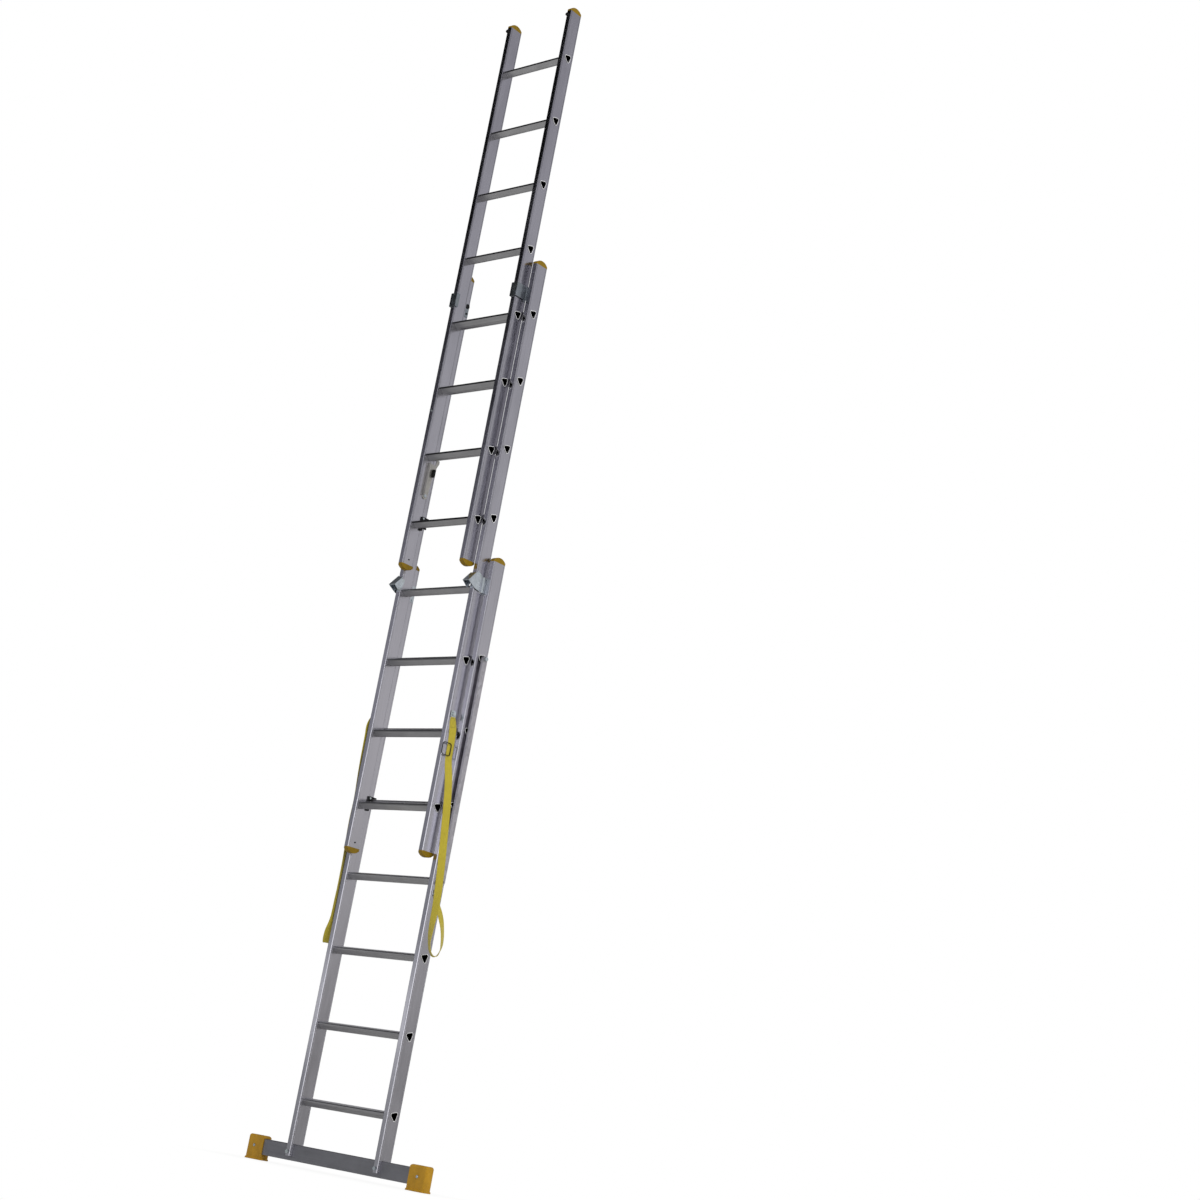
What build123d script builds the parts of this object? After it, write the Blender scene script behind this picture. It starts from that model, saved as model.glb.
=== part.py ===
"""Three-section aluminium extension ladder, raised, as separate named solids in millimetres."""
import os
from math import cos, hypot, radians, sin, tan

from build123d import *

# Rungs: rounded triangular tubes with a flat tread that lies level when the ladder leans
RUNG_PITCH = 280.0
RUNG_COUNT = 8
RUNG_TREAD = 31.0
RUNG_HEIGHT = 28.0
RUNG_ROUND = 6.0
RUNG_WALL = 1.6
RUNG_TILT = 15.0
RUNG_SETBACK = 33.5
RUNG_FIT = 0.1
RIM_PROUD = 1.5
RIM_GROW = 2.0

# Stiles: box extrusions
STILE_WIDTH = 22.5
STILE_DEPTH = 63.0
STILE_WALL = 1.8
STILE_ROUND = 4.0

# Sections, from the one on the ground to the one at the top
BASE_WIDTH = 480.0
MIDDLE_SIDE_GAP = 9.5
TOP_SIDE_GAP = 11.0
NEST_STEP = 49.0
SECTION_DROP = 19.0
RAISED_PITCHES = 4
BASE_OVER_RUNG = 96.0
RAISED_OVER_RUNG = 206.0
RAISED_UNDER_RUNG = 163.0

# End caps of the stiles
CAP_RISE = 21.0
CAP_EDGE = 6.0
CAP_PLUG = 24.0
CAP_FIT = 0.2
CAP_SOFTEN = 1.5
CAP_RIVET_RADIUS = 3.0
CAP_RIVET_PROUD = 1.5
CAP_RIVET_INSET = 20.0

# Stabiliser bar across the foot of the base section
BAR_HEIGHT = 58.0
BAR_DEPTH = 30.0
BAR_WALL = 2.0
BAR_ROUND = 3.0
BAR_LENGTH = 924.0
BAR_TOP = -154.0
BAR_FIT = 0.3
STILE_LOW = -197.0
BAR_BOLT_Z = -182.0
BAR_BOLT_RADIUS = 4.0
BAR_BOLT_HEAD = 7.5
BAR_BOLT_PROUD = 6.0

# Feet at both ends of the bar
FOOT_LENGTH = 84.0
FOOT_WALL = 4.0
FOOT_CROWN = 11.0
FOOT_SOLE = 20.0
FOOT_LIP = 4.5
FOOT_LIP_HEIGHT = 9.0
FOOT_ROUND = 9.0
FOOT_FIT = 0.2
FOOT_SCREW_INSET = 40.5
FOOT_SCREW_HEAD = 5.5
FOOT_SCREW_PROUD = 3.0
FOOT_SCREW_RADIUS = 2.5
FOOT_HOLE_RADIUS = 2.5

# Sheet brackets and running gaps between the sections
SHEET = 2.5
BEND = 2.0
RUN_GAP = 1.5
FACE_GAP = 2.5
RIVET_RADIUS = 4.0
RIVET_PROUD = 2.5
RIVET_TAIL = 3.2
HOLE_FIT = 0.15

# Guide brackets on the middle section, round the front of the top section
GUIDE_LOW = 51.0
GUIDE_HEIGHT = 56.0
GUIDE_RETURN = 18.0
GUIDE_JOG_FROM = -1.0
GUIDE_JOG_TO = 4.0
GUIDE_TAB_END = 59.0
GUIDE_RIVETS = ((49.0, 45.0), (50.0, 14.0))
GUIDE_HEADS = (9.5, RIVET_RADIUS)

# Hook brackets on the base section, round the front of the middle section
HOOK_FRONT_UPPER = (-87.0, -4.0)
HOOK_TOP = (-47.0, 43.0)
HOOK_CREASE_TOP = (-13.0, 28.0)
HOOK_CREASE_LOW = (-13.0, -32.0)
HOOK_BELLY = (-48.0, -26.0)
HOOK_FRONT_LOWER = (-77.0, -11.0)
HOOK_LUG_SHARE = 0.66
HOOK_LUG_REAR = (-38.0, 26.0)
HOOK_LUG_LOW = (-45.0, -5.0)
HOOK_LUG_TIP = (-58.0, -25.0)
HOOK_MOUNT_FROM = 2.0
HOOK_MOUNT_TO = 57.0
HOOK_MOUNT_LOW = -34.0
HOOK_MOUNT_TOP = 30.0
HOOK_RUNG_GAP = 2.5
HOOK_BOLTS = ((11.0, 22.0), (11.0, -26.0), (50.0, -26.0))

# Rung hooks at the lowest rung of each raised section, round the rung behind
CLAW_THICK = 6.0
CLAW_GAP = 0.5
CLAW_SEAT = 0.35
CLAW_BODY = 12.0
CLAW_REACH = 26.0
CLAW_UPPER = 14.5
CLAW_LOWER = -16.5
CLAW_JAW = 7.0
CLAW_TAIL = 11.0
CLAW_ROUND = 2.5

# Lock levers inside the top section
LEVER_GAP = 0.6
LEVER_PIVOT = (44.0, 123.0)
LEVER_END = 13.0
LEVER_FLANGE = 9.0
LEVER_OUTLINE = ((31.0, 123.0), (31.0, 257.0), (68.0, 257.0), (70.0, 281.5),
                 (85.0, 281.5), (86.0, 270.0), (66.0, 226.0), (57.0, 123.0))
LEVER_GRIP = (60.0, 221.0)
LEVER_GRIP_SIZE = (13.0, 10.0, 30.0)
LEVER_PIN_RADIUS = 4.0
LEVER_PIN_HEAD = 6.5
LEVER_PIN_PROUD = 2.5

# Stops on the front of the top section
STOP_KNOB_Z = 184.0
STOP_KNOB_RADIUS = 7.0
STOP_KNOB_PROUD = 12.0
STOP_BOLT_RUNG_Z = 467.0
STOP_BOLT_RADIUS = 5.0
STOP_BOLT_PROUD = 5.0

# Stay bars hinged at the end of a base rung
STAY_RUNG_COUNT = 6
STAY_WIDTH = 24.0
STAY_THICK = 9.0
STAY_WALL = 2.0
STAY_GAP = 9.0
STAY_LENGTH = 840.0
STAY_FIT = 0.4
STAY_BOLT_RADIUS = 5.0
STAY_BOLT_HEAD = 8.5
STAY_BOLT_PROUD = 7.0
STAY_SPACER = 11.0
STAY_PLUG_DEPTH = 18.0

# Webbing straps between base and middle section
STRAP_WIDTH = 28.0
STRAP_THICK = 2.0
STRAP_LIFT = 0.2
STRAP_TAIL = 12.0
STRAP_FLAT = 26.0
STRAP_EASE = 0.3
STRAP_SHARE = 0.45
STRAP_MIDDLE = (-29.0, 1452.0)
STRAP_BASE = (28.0, 796.0)
STRAP_BY_MIDDLE = ((5.0, -30.0, 1394.0), (7.0, -29.0, 1316.0), (11.0, -26.0, 1204.0))
STRAP_BY_BASE = ((-9.0, -20.0, 1075.0), (4.5, -17.0, 946.0), (6.5, -10.0, 820.0), (7.5, -3.0, 730.0))
STRAP_RETURN = ((53.0, 20.0, 695.0), (7.5, 26.0, 750.0))
LOOP_CENTRE = (37.8, 18.4, 619.3)
LOOP_RADIUS = 33.0
LOOP_OUT = (0.9, 0.436)
LOOP_DOWN = (0.1, -0.995)
LOOP_CORNERS = 4
LOOP_TURN = 48.0
ANCHOR_RADIUS = 4.0
ANCHOR_HEAD = 7.0
ANCHOR_PROUD = 4.0
ANCHOR_PLATE = (26.0, 24.0)
ANCHOR_PLATE_THICK = 1.5

# Wire buckle on the upper run of each strap, hanging differently on the two sides
BUCKLE_RIGHT = (-38.0, 1318.0)
BUCKLE_LEFT = (-24.0, 1345.0)
BUCKLE_SIZE = (44.0, 46.0)
BUCKLE_ROUND = 9.0
BUCKLE_WIRE = 1.6
BUCKLE_OFF_STILE = 10.6
BUCKLE_LEFT_NEARER = 0.75


class Section:
    """One ladder section: its width, front face, lowest rung, stile ends and rungs that show outside."""

    def __init__(self, width, front, rung, low, over, through):
        self.outer = width / 2
        self.inner = width / 2 - STILE_WIDTH
        self.front = front
        self.rear = front + STILE_DEPTH
        self.rung = rung
        self.rung_y = front + RUNG_SETBACK
        self.low = low
        self.through = through
        self.high = self.rung_z(RUNG_COUNT - 1) + over

    def rung_z(self, index):
        return self.rung + index * RUNG_PITCH

    def stile_x(self):
        return (self.outer + self.inner) / 2

    def stile_y(self):
        return (self.front + self.rear) / 2


LIFT = RAISED_PITCHES * RUNG_PITCH - SECTION_DROP
MIDDLE_WIDTH = BASE_WIDTH - 2 * (STILE_WIDTH + MIDDLE_SIDE_GAP)
TOP_WIDTH = MIDDLE_WIDTH - 2 * (STILE_WIDTH + TOP_SIDE_GAP)
BASE = Section(BASE_WIDTH, 0.0, 0.0, STILE_LOW, BASE_OVER_RUNG, RUNG_COUNT - 1)
MIDDLE = Section(MIDDLE_WIDTH, -NEST_STEP, LIFT, LIFT - RAISED_UNDER_RUNG, RAISED_OVER_RUNG, RUNG_COUNT)
TOP = Section(TOP_WIDTH, -2 * NEST_STEP, 2 * LIFT, 2 * LIFT - RAISED_UNDER_RUNG, RAISED_OVER_RUNG, RUNG_COUNT)


def mirrored(solid):
    """The same piece on the other side of the ladder."""
    return mirror(solid, about=Plane.YZ)


def across(sketch, start, width):
    """A profile drawn in depth and height, extruded along the ladder's width."""
    return extrude(Plane.YZ.offset(start) * sketch, width, dir=(1, 0, 0))


def post(radius, start, length, y, z):
    """A round pin along the ladder's width."""
    return across(Pos(y, z) * Circle(radius), start, length)


def dowel(radius, y, length, x, z):
    """A round pin that runs from the front towards the rear."""
    return Pos(x, y, z) * Rot(-90, 0, 0) * extrude(Circle(radius), length)


def hex_dowel(radius, y, length, x, z):
    """A hexagonal head or nut on a pin that runs from the front towards the rear."""
    return Pos(x, y, z) * Rot(-90, 0, 0) * extrude(RegularPolygon(radius, 6), length)


def rung_outline(grow=0.0):
    """Rounded triangle with its tread on top, turned so that the rear edge is higher."""
    half = RUNG_TREAD / 2 - RUNG_ROUND
    rise = RUNG_HEIGHT / 2 - RUNG_ROUND
    core = Polygon((-half, rise), (0, -rise), (half, rise), align=None)
    return Rot(0, 0, RUNG_TILT) * offset(core, RUNG_ROUND + grow)


def tread_height(depth):
    """Height of the tread's plane over the rung's centre, at a depth from that centre."""
    return (RUNG_HEIGHT / 2 + depth * sin(radians(RUNG_TILT))) / cos(radians(RUNG_TILT))


def rung(section, index):
    """One rung tube with a swaged rim outside each stile, or with both ends inside the stiles."""
    place = Pos(section.rung_y, section.rung_z(index))
    shows = index < section.through
    reach = section.outer + RIM_PROUD if shows else section.outer - STILE_WALL - RUNG_FIT
    tube = across(place * rung_outline(), -reach, 2 * reach)
    if shows:
        rim = across(place * rung_outline(RIM_GROW), section.outer, RIM_PROUD)
        tube = tube + rim + mirrored(rim)
    return tube - across(place * rung_outline(-RUNG_WALL), -reach, 2 * reach)


def rungs(section):
    return [rung(section, index) for index in range(RUNG_COUNT)]


def stile(section):
    """Right-hand stile with the holes that its rungs pass through."""
    wall = RectangleRounded(STILE_WIDTH, STILE_DEPTH, STILE_ROUND)
    wall -= RectangleRounded(STILE_WIDTH - 2 * STILE_WALL, STILE_DEPTH - 2 * STILE_WALL,
                             STILE_ROUND - STILE_WALL)
    place = Pos(section.stile_x(), section.stile_y(), section.low)
    body = place * extrude(wall, section.high - section.low)
    hole = rung_outline(RUNG_FIT)
    for index in range(RUNG_COUNT):
        spot = Pos(section.rung_y, section.rung_z(index))
        deep = STILE_WIDTH + RUNG_FIT if index < section.through else STILE_WIDTH - STILE_WALL
        body -= across(spot * hole, section.inner - RUNG_FIT, deep + RUNG_FIT)
    return body


def base_stile():
    """Right-hand base stile, notched for the bar that it straddles."""
    notch_top = BAR_TOP + BAR_FIT
    depth = BAR_DEPTH + 2 * BAR_FIT
    tall = notch_top - STILE_LOW
    notch = Pos(BASE.stile_x(), BASE.stile_y(), notch_top - tall / 2) * Box(STILE_WIDTH * 2, depth, tall)
    body = stile(BASE) - notch
    bolt_hole = dowel(BAR_BOLT_RADIUS + HOLE_FIT, BASE.front, STILE_DEPTH, BASE.stile_x(), BAR_BOLT_Z)
    return body - bolt_hole


def cap(section, top=True):
    """Domed cap with a plug inside the right-hand stile's end."""
    half = STILE_DEPTH / 2
    side = Polyline((-half, CAP_EDGE), (-half, 0), (half, 0), (half, CAP_EDGE))
    crown = ThreePointArc((half, CAP_EDGE), (0, CAP_RISE), (-half, CAP_EDGE))
    dome = across(make_face(side + crown), -STILE_WIDTH / 2, STILE_WIDTH)
    dome = fillet(dome.edges().filter_by(GeomType.CIRCLE), CAP_SOFTEN)
    dome = dome & extrude(RectangleRounded(STILE_WIDTH, STILE_DEPTH, STILE_ROUND), CAP_RISE)
    slack = 2 * (STILE_WALL + CAP_FIT)
    plug = RectangleRounded(STILE_WIDTH - slack, STILE_DEPTH - slack, STILE_ROUND - STILE_WALL)
    whole = dome + extrude(plug, -CAP_PLUG)
    if top:
        return Pos(section.stile_x(), section.stile_y(), section.high) * whole
    return Pos(section.stile_x(), section.stile_y(), section.low) * mirror(whole, about=Plane.XY)


def cap_rivets(section):
    """Rivets through the inner webs that hold the bottom caps, and the holes they need."""
    y = section.stile_y()
    z = section.low + CAP_RIVET_INSET
    grip = STILE_WALL + CAP_PLUG / 4
    shank = post(CAP_RIVET_RADIUS / 2, section.inner, grip, y, z)
    head = post(CAP_RIVET_RADIUS, section.inner - CAP_RIVET_PROUD, CAP_RIVET_PROUD, y, z)
    tool = post(CAP_RIVET_RADIUS / 2 + HOLE_FIT, section.inner, grip + HOLE_FIT, y, z)
    return shank + head, tool


BAR_CENTRE_Z = BAR_TOP - BAR_HEIGHT / 2
BAR_Y = BASE.stile_y()


def stabiliser_bar():
    wall = RectangleRounded(BAR_DEPTH, BAR_HEIGHT, BAR_ROUND)
    wall -= RectangleRounded(BAR_DEPTH - 2 * BAR_WALL, BAR_HEIGHT - 2 * BAR_WALL, BAR_ROUND - BAR_WALL)
    tube = across(Pos(BAR_Y, BAR_CENTRE_Z) * wall, -BAR_LENGTH / 2, BAR_LENGTH)
    for x in (-BASE.stile_x(), BASE.stile_x()):
        tube -= dowel(BAR_BOLT_RADIUS + HOLE_FIT, BASE.front, STILE_DEPTH, x, BAR_BOLT_Z)
    for x in (-foot_screw_x(), foot_screw_x()):
        tube -= dowel(FOOT_SCREW_RADIUS + HOLE_FIT, BASE.front, BAR_Y, x, BAR_BOLT_Z)
    return tube


def bar_bolt():
    """Hexagon bolt through the right-hand stile and the bar, with its nut behind."""
    x = BASE.stile_x()
    length = STILE_DEPTH + BAR_BOLT_PROUD
    shank = dowel(BAR_BOLT_RADIUS, BASE.front, length, x, BAR_BOLT_Z)
    head = hex_dowel(BAR_BOLT_HEAD, BASE.front - BAR_BOLT_PROUD, BAR_BOLT_PROUD, x, BAR_BOLT_Z)
    nut = hex_dowel(BAR_BOLT_HEAD, BASE.rear, BAR_BOLT_PROUD, x, BAR_BOLT_Z)
    return shank + head + nut


FOOT_END = BAR_LENGTH / 2 + FOOT_WALL
FOOT_LOW = BAR_TOP - BAR_HEIGHT - FOOT_SOLE
FOOT_TOP = BAR_TOP + FOOT_CROWN
FOOT_FRONT = BAR_Y - BAR_DEPTH / 2 - FOOT_WALL


def foot_screw_x():
    return FOOT_END - FOOT_SCREW_INSET


def foot():
    """Right-hand foot: a cap over the bar's end with a flared sole."""
    depth = BAR_DEPTH + 2 * FOOT_WALL
    tall = FOOT_TOP - FOOT_LOW
    centre = FOOT_END - FOOT_LENGTH / 2
    block = Pos(centre, BAR_Y, FOOT_LOW + tall / 2) * Box(FOOT_LENGTH, depth, tall)
    outer_edges = block.edges().filter_by(Axis.Z).group_by(Axis.X)[-1]
    top_edges = block.faces().sort_by(Axis.Z)[-1].edges()
    block = fillet(outer_edges + top_edges, FOOT_ROUND)
    lip_plan = RectangleRounded(FOOT_LENGTH + FOOT_LIP, depth + 2 * FOOT_LIP, FOOT_ROUND)
    lip = Pos(centre - FOOT_LIP / 2, BAR_Y, FOOT_LOW) * extrude(lip_plan, FOOT_LIP_HEIGHT)
    lip = chamfer(lip.faces().sort_by(Axis.Z)[-1].edges(), FOOT_LIP - FOOT_FIT)
    hollow = RectangleRounded(BAR_DEPTH + 2 * FOOT_FIT, BAR_HEIGHT + 2 * FOOT_FIT, BAR_ROUND)
    mouth = across(Pos(BAR_Y, BAR_CENTRE_Z) * hollow, FOOT_END - FOOT_LENGTH - FOOT_LIP,
                   FOOT_LENGTH + FOOT_LIP - FOOT_WALL)
    screw_hole = dowel(FOOT_SCREW_RADIUS + HOLE_FIT, FOOT_FRONT, FOOT_WALL, foot_screw_x(), BAR_BOLT_Z)
    eye = post(FOOT_HOLE_RADIUS, FOOT_END - FOOT_LENGTH - FOOT_LIP, FOOT_SOLE, BAR_Y,
               FOOT_LOW + FOOT_LIP_HEIGHT / 2)
    return block + lip - mouth - screw_hole - eye


def foot_screw():
    head = dowel(FOOT_SCREW_HEAD, FOOT_FRONT - FOOT_SCREW_PROUD, FOOT_SCREW_PROUD, foot_screw_x(),
                 BAR_BOLT_Z)
    head = fillet(head.faces().sort_by(Axis.Y)[0].edges(), FOOT_SCREW_PROUD / 2)
    shank = dowel(FOOT_SCREW_RADIUS, FOOT_FRONT, FOOT_WALL + 3 * BAR_WALL, foot_screw_x(), BAR_BOLT_Z)
    return head + shank


def bent_sheet(points, low, height):
    """Sheet folded along a plan outline, its thickness to the left of the line of travel."""
    line = FilletPolyline(*points, radius=BEND)
    return Pos(0, 0, low) * extrude(make_face(offset(line, SHEET, side=Side.LEFT)), height, dir=(0, 0, 1))


GUIDE_Z = MIDDLE.rung_z(RUNG_COUNT - 1) + GUIDE_LOW


def guide_bracket():
    """Folded guide on the middle section's right-hand inner web."""
    mount = MIDDLE.inner
    side = TOP.outer + RIM_PROUD + RUN_GAP + SHEET
    face = TOP.front - FACE_GAP - SHEET
    inside = TOP.inner - FACE_GAP - SHEET
    plan = ((mount, MIDDLE.front + GUIDE_TAB_END), (mount, MIDDLE.front + GUIDE_JOG_TO),
            (side, MIDDLE.front + GUIDE_JOG_FROM), (side, face), (inside, face),
            (inside, face + GUIDE_RETURN))
    bracket = bent_sheet(tuple(reversed(plan)), GUIDE_Z, GUIDE_HEIGHT)
    for y, z in GUIDE_RIVETS:
        bracket -= post(RIVET_RADIUS / 2 + HOLE_FIT, mount - SHEET, SHEET, MIDDLE.front + y, GUIDE_Z + z)
    return bracket


def web_rivet(section, y, z, size=RIVET_RADIUS):
    """Rivet through a sheet on the inner web, its tail inside the hollow stile."""
    sheet = section.inner - SHEET
    shank = post(RIVET_RADIUS / 2, sheet, SHEET + 2 * STILE_WALL, y, z)
    head = post(size, sheet - RIVET_PROUD, RIVET_PROUD, y, z)
    tail = post(RIVET_TAIL, section.inner + STILE_WALL, STILE_WALL, y, z)
    return shank + head + tail


def rivet_holes(section, spots):
    """Holes in the right-hand inner web for a list of depth and height positions."""
    reach = RIVET_RADIUS / 2 + HOLE_FIT
    return [post(reach, section.inner, STILE_WALL, y, z) for y, z in spots]


HOOK_Z = BASE.rung_z(RUNG_COUNT - 1)


def hook_point(point):
    return point[0], HOOK_Z + point[1]


def hook_bracket():
    """Right-hand hook bracket: a mount on the base's inner web and a hood over the middle stile's front."""
    outside = MIDDLE.outer + RIM_PROUD + RUN_GAP
    inside = MIDDLE.inner - FACE_GAP - SHEET
    mount = BASE.inner - SHEET
    plate = Polygon(*[hook_point(p) for p in (HOOK_FRONT_UPPER, HOOK_TOP, HOOK_CREASE_TOP,
                                              HOOK_CREASE_LOW, HOOK_BELLY, HOOK_FRONT_LOWER)], align=None)
    cheek = across(plate, outside, SHEET)
    front = hook_point(HOOK_FRONT_UPPER)
    top = hook_point(HOOK_TOP)
    lug_top = tuple(low + HOOK_LUG_SHARE * (high - low) for low, high in zip(front, top))
    lug = Polygon(front, lug_top, hook_point(HOOK_LUG_REAR), hook_point(HOOK_LUG_LOW), hook_point(HOOK_LUG_TIP),
                  align=None)
    lug = across(lug, inside, SHEET)
    run = hypot(top[0] - front[0], top[1] - front[1])
    step_y = (top[1] - front[1]) / run * SHEET
    step_z = (front[0] - top[0]) / run * SHEET
    end_y = MIDDLE.front - FACE_GAP - step_y
    end_z = front[1] + (end_y - front[0]) * (top[1] - front[1]) / (top[0] - front[0])
    roof = Polygon(front, (end_y, end_z), (end_y + step_y, end_z + step_z),
                   (front[0] + step_y, front[1] + step_z), align=None)
    roof = across(roof, inside, outside + SHEET - inside)
    high = HOOK_MOUNT_TOP - HOOK_MOUNT_LOW
    base_plate = Pos(mount + SHEET / 2, (HOOK_MOUNT_FROM + HOOK_MOUNT_TO) / 2,
                     HOOK_Z + HOOK_MOUNT_LOW + high / 2)
    base_plate = base_plate * Box(SHEET, HOOK_MOUNT_TO - HOOK_MOUNT_FROM, high)
    crease = HOOK_CREASE_TOP[0]
    jog = Polygon((outside, crease), (outside + SHEET, crease), (mount + SHEET, HOOK_MOUNT_FROM),
                  (mount, HOOK_MOUNT_FROM), align=None)
    jog_low = HOOK_Z + HOOK_CREASE_LOW[1]
    jog = Pos(0, 0, jog_low) * extrude(jog, HOOK_CREASE_TOP[1] - HOOK_CREASE_LOW[1], dir=(0, 0, 1))
    bracket = cheek + lug + roof + base_plate + jog
    bracket -= across(Pos(BASE.rung_y, HOOK_Z) * rung_outline(HOOK_RUNG_GAP), mount, SHEET)
    for y, z in HOOK_BOLTS:
        bracket -= post(RIVET_RADIUS / 2 + HOLE_FIT, mount, SHEET, y, HOOK_Z + z)
    return bracket


def claw(section, behind):
    """Right-hand rung hook: a fork on the inner web, open to the rear round the rung behind."""
    root = section.rear - CLAW_BODY
    rung_y = behind.rung_y
    rung_z = behind.rung_z(RAISED_PITCHES)
    top = rung_z + CLAW_UPPER + CLAW_JAW
    low = rung_z + CLAW_LOWER - CLAW_JAW
    throat = rung_y + rung_outline().bounding_box().min.X - RUN_GAP
    tip = throat + CLAW_REACH
    seat = [(y, rung_z + tread_height(y - rung_y) + CLAW_SEAT) for y in (throat, tip)]
    outline = Polygon((root, low - CLAW_TAIL), (section.rear, low - CLAW_TAIL), (section.rear, low),
                      (tip - CLAW_JAW, low), (tip - CLAW_JAW, rung_z + CLAW_LOWER),
                      (throat, rung_z + CLAW_LOWER), *seat, (tip, top), (root, top), align=None)
    corners = outline.vertices().filter_by(lambda v: v.Y > top - CLAW_SEAT or v.Y < low - CLAW_SEAT)
    outline = fillet(corners, CLAW_ROUND)
    start = section.inner - CLAW_GAP - CLAW_THICK
    return across(outline, start, CLAW_THICK)


def claw_rivets(section, behind):
    """Two rivets through the right-hand rung hook, and the holes they need."""
    y = section.rear - CLAW_BODY / 2
    middle = behind.rung_z(RAISED_PITCHES)
    outer = section.inner - CLAW_GAP - CLAW_THICK
    solids = []
    tools = []
    for z in (middle + CLAW_UPPER, middle + CLAW_LOWER):
        long = CLAW_THICK + CLAW_GAP + 2 * STILE_WALL
        shank = post(RIVET_RADIUS / 2, outer, long, y, z)
        head = post(RIVET_RADIUS, outer - RIVET_PROUD, RIVET_PROUD, y, z)
        spacer = post(RIVET_RADIUS, section.inner - CLAW_GAP, CLAW_GAP, y, z)
        solids.append(shank + head + spacer)
        tools.append(post(RIVET_RADIUS / 2 + HOLE_FIT, outer, long, y, z))
    return solids, tools


def lever_place(point):
    return TOP.front + point[0], TOP.rung + point[1]


def lock_lever():
    """Right-hand lock lever: a plate beside the inner web with a folded front edge."""
    plate_x = TOP.inner - LEVER_GAP - SHEET
    outline = Polygon(*[lever_place(p) for p in LEVER_OUTLINE], align=None)
    outline = outline + Pos(*lever_place(LEVER_PIVOT)) * Circle(LEVER_END)
    plate = across(outline, plate_x, SHEET)
    front = lever_place(LEVER_OUTLINE[0])
    tall = LEVER_OUTLINE[1][1] - LEVER_OUTLINE[0][1]
    flange = Pos(plate_x - LEVER_FLANGE / 2, front[0] + SHEET / 2, front[1] + tall / 2)
    flange = flange * Box(LEVER_FLANGE, SHEET, tall)
    pivot = post(LEVER_PIN_RADIUS + STAY_FIT, plate_x, SHEET, *lever_place(LEVER_PIVOT))
    return plate + flange - pivot


def lever_grip():
    """Block on the lever's inner face that the hand pulls to free it."""
    wide, deep, tall = LEVER_GRIP_SIZE
    plate_x = TOP.inner - LEVER_GAP - SHEET
    y, z = lever_place(LEVER_GRIP)
    block = Pos(plate_x - wide / 2, y, z) * Box(wide, deep, tall)
    return fillet(block.faces().sort_by(Axis.X)[0].edges(), CLAW_ROUND)


def lever_pin():
    """Pivot pin of the right-hand lever, headed inside and riveted in the web."""
    y, z = lever_place(LEVER_PIVOT)
    plate_x = TOP.inner - LEVER_GAP - SHEET
    shank = post(LEVER_PIN_RADIUS, plate_x - STAY_FIT, SHEET + STAY_FIT + LEVER_GAP + 2 * STILE_WALL, y, z)
    head_x = plate_x - STAY_FIT - LEVER_PIN_PROUD
    head = post(LEVER_PIN_HEAD, head_x, LEVER_PIN_PROUD, y, z)
    return shank + head


def stop_knob():
    x = TOP.stile_x()
    z = TOP.rung_z(RUNG_COUNT - 1) + STOP_KNOB_Z
    knob = dowel(STOP_KNOB_RADIUS, TOP.front - STOP_KNOB_PROUD, STOP_KNOB_PROUD, x, z)
    knob = fillet(knob.faces().sort_by(Axis.Y)[0].edges(), STOP_KNOB_RADIUS / 3)
    return knob + dowel(STOP_BOLT_RADIUS / 2, TOP.front, STILE_WALL, x, z)


def stop_bolt():
    x = -TOP.stile_x()
    z = TOP.rung + STOP_BOLT_RUNG_Z
    head = hex_dowel(STOP_BOLT_RADIUS, TOP.front - STOP_BOLT_PROUD, STOP_BOLT_PROUD, x, z)
    return head + dowel(STOP_BOLT_RADIUS / 2, TOP.front, STILE_WALL, x, z)


STAY_Y = BASE.rung_y
STAY_Z = BASE.rung_z(STAY_RUNG_COUNT)
STAY_X = BASE.outer + STAY_GAP


def stay_bar():
    """Right-hand stay: a channel, open towards the stile, that hangs from its pivot."""
    half = STAY_WIDTH / 2
    blank = Pos(STAY_Y, STAY_Z - STAY_LENGTH / 2) * SlotCenterToCenter(STAY_LENGTH, STAY_WIDTH, 90)
    bar = across(blank, STAY_X, STAY_THICK)
    trough = Pos(STAY_X + (STAY_THICK - STAY_WALL) / 2, STAY_Y, STAY_Z - STAY_LENGTH / 2)
    bar -= trough * Box(STAY_THICK - STAY_WALL, STAY_WIDTH - 2 * STAY_WALL, STAY_LENGTH - 2 * half)
    reach = STAY_BOLT_RADIUS + STAY_FIT
    for z in (STAY_Z, STAY_Z - STAY_LENGTH):
        bar -= post(reach, STAY_X, STAY_THICK, STAY_Y, z)
    return bar


def stay_plug():
    """Plug in the rung's end with a collar that spaces the stay off the stile."""
    plug = across(Pos(STAY_Y, STAY_Z) * rung_outline(-RUNG_WALL - CAP_FIT),
                  BASE.outer + RIM_PROUD - STAY_PLUG_DEPTH, STAY_PLUG_DEPTH)
    collar = post(STAY_SPACER, BASE.outer + RIM_PROUD, STAY_GAP - RIM_PROUD - STAY_FIT, STAY_Y, STAY_Z)
    hole = post(STAY_BOLT_RADIUS + HOLE_FIT, BASE.inner, STAY_X, STAY_Y, STAY_Z)
    return plug + collar - hole


def stay_bolt():
    """Pivot bolt of the right-hand stay, with a hexagon nut outside."""
    start = BASE.outer + RIM_PROUD - STAY_PLUG_DEPTH
    end = STAY_X + STAY_THICK + STAY_FIT
    shank = post(STAY_BOLT_RADIUS, start, end - start, STAY_Y, STAY_Z)
    nut = across(Pos(STAY_Y, STAY_Z) * RegularPolygon(STAY_BOLT_HEAD, 6), end, STAY_BOLT_PROUD)
    return shank + nut


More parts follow.
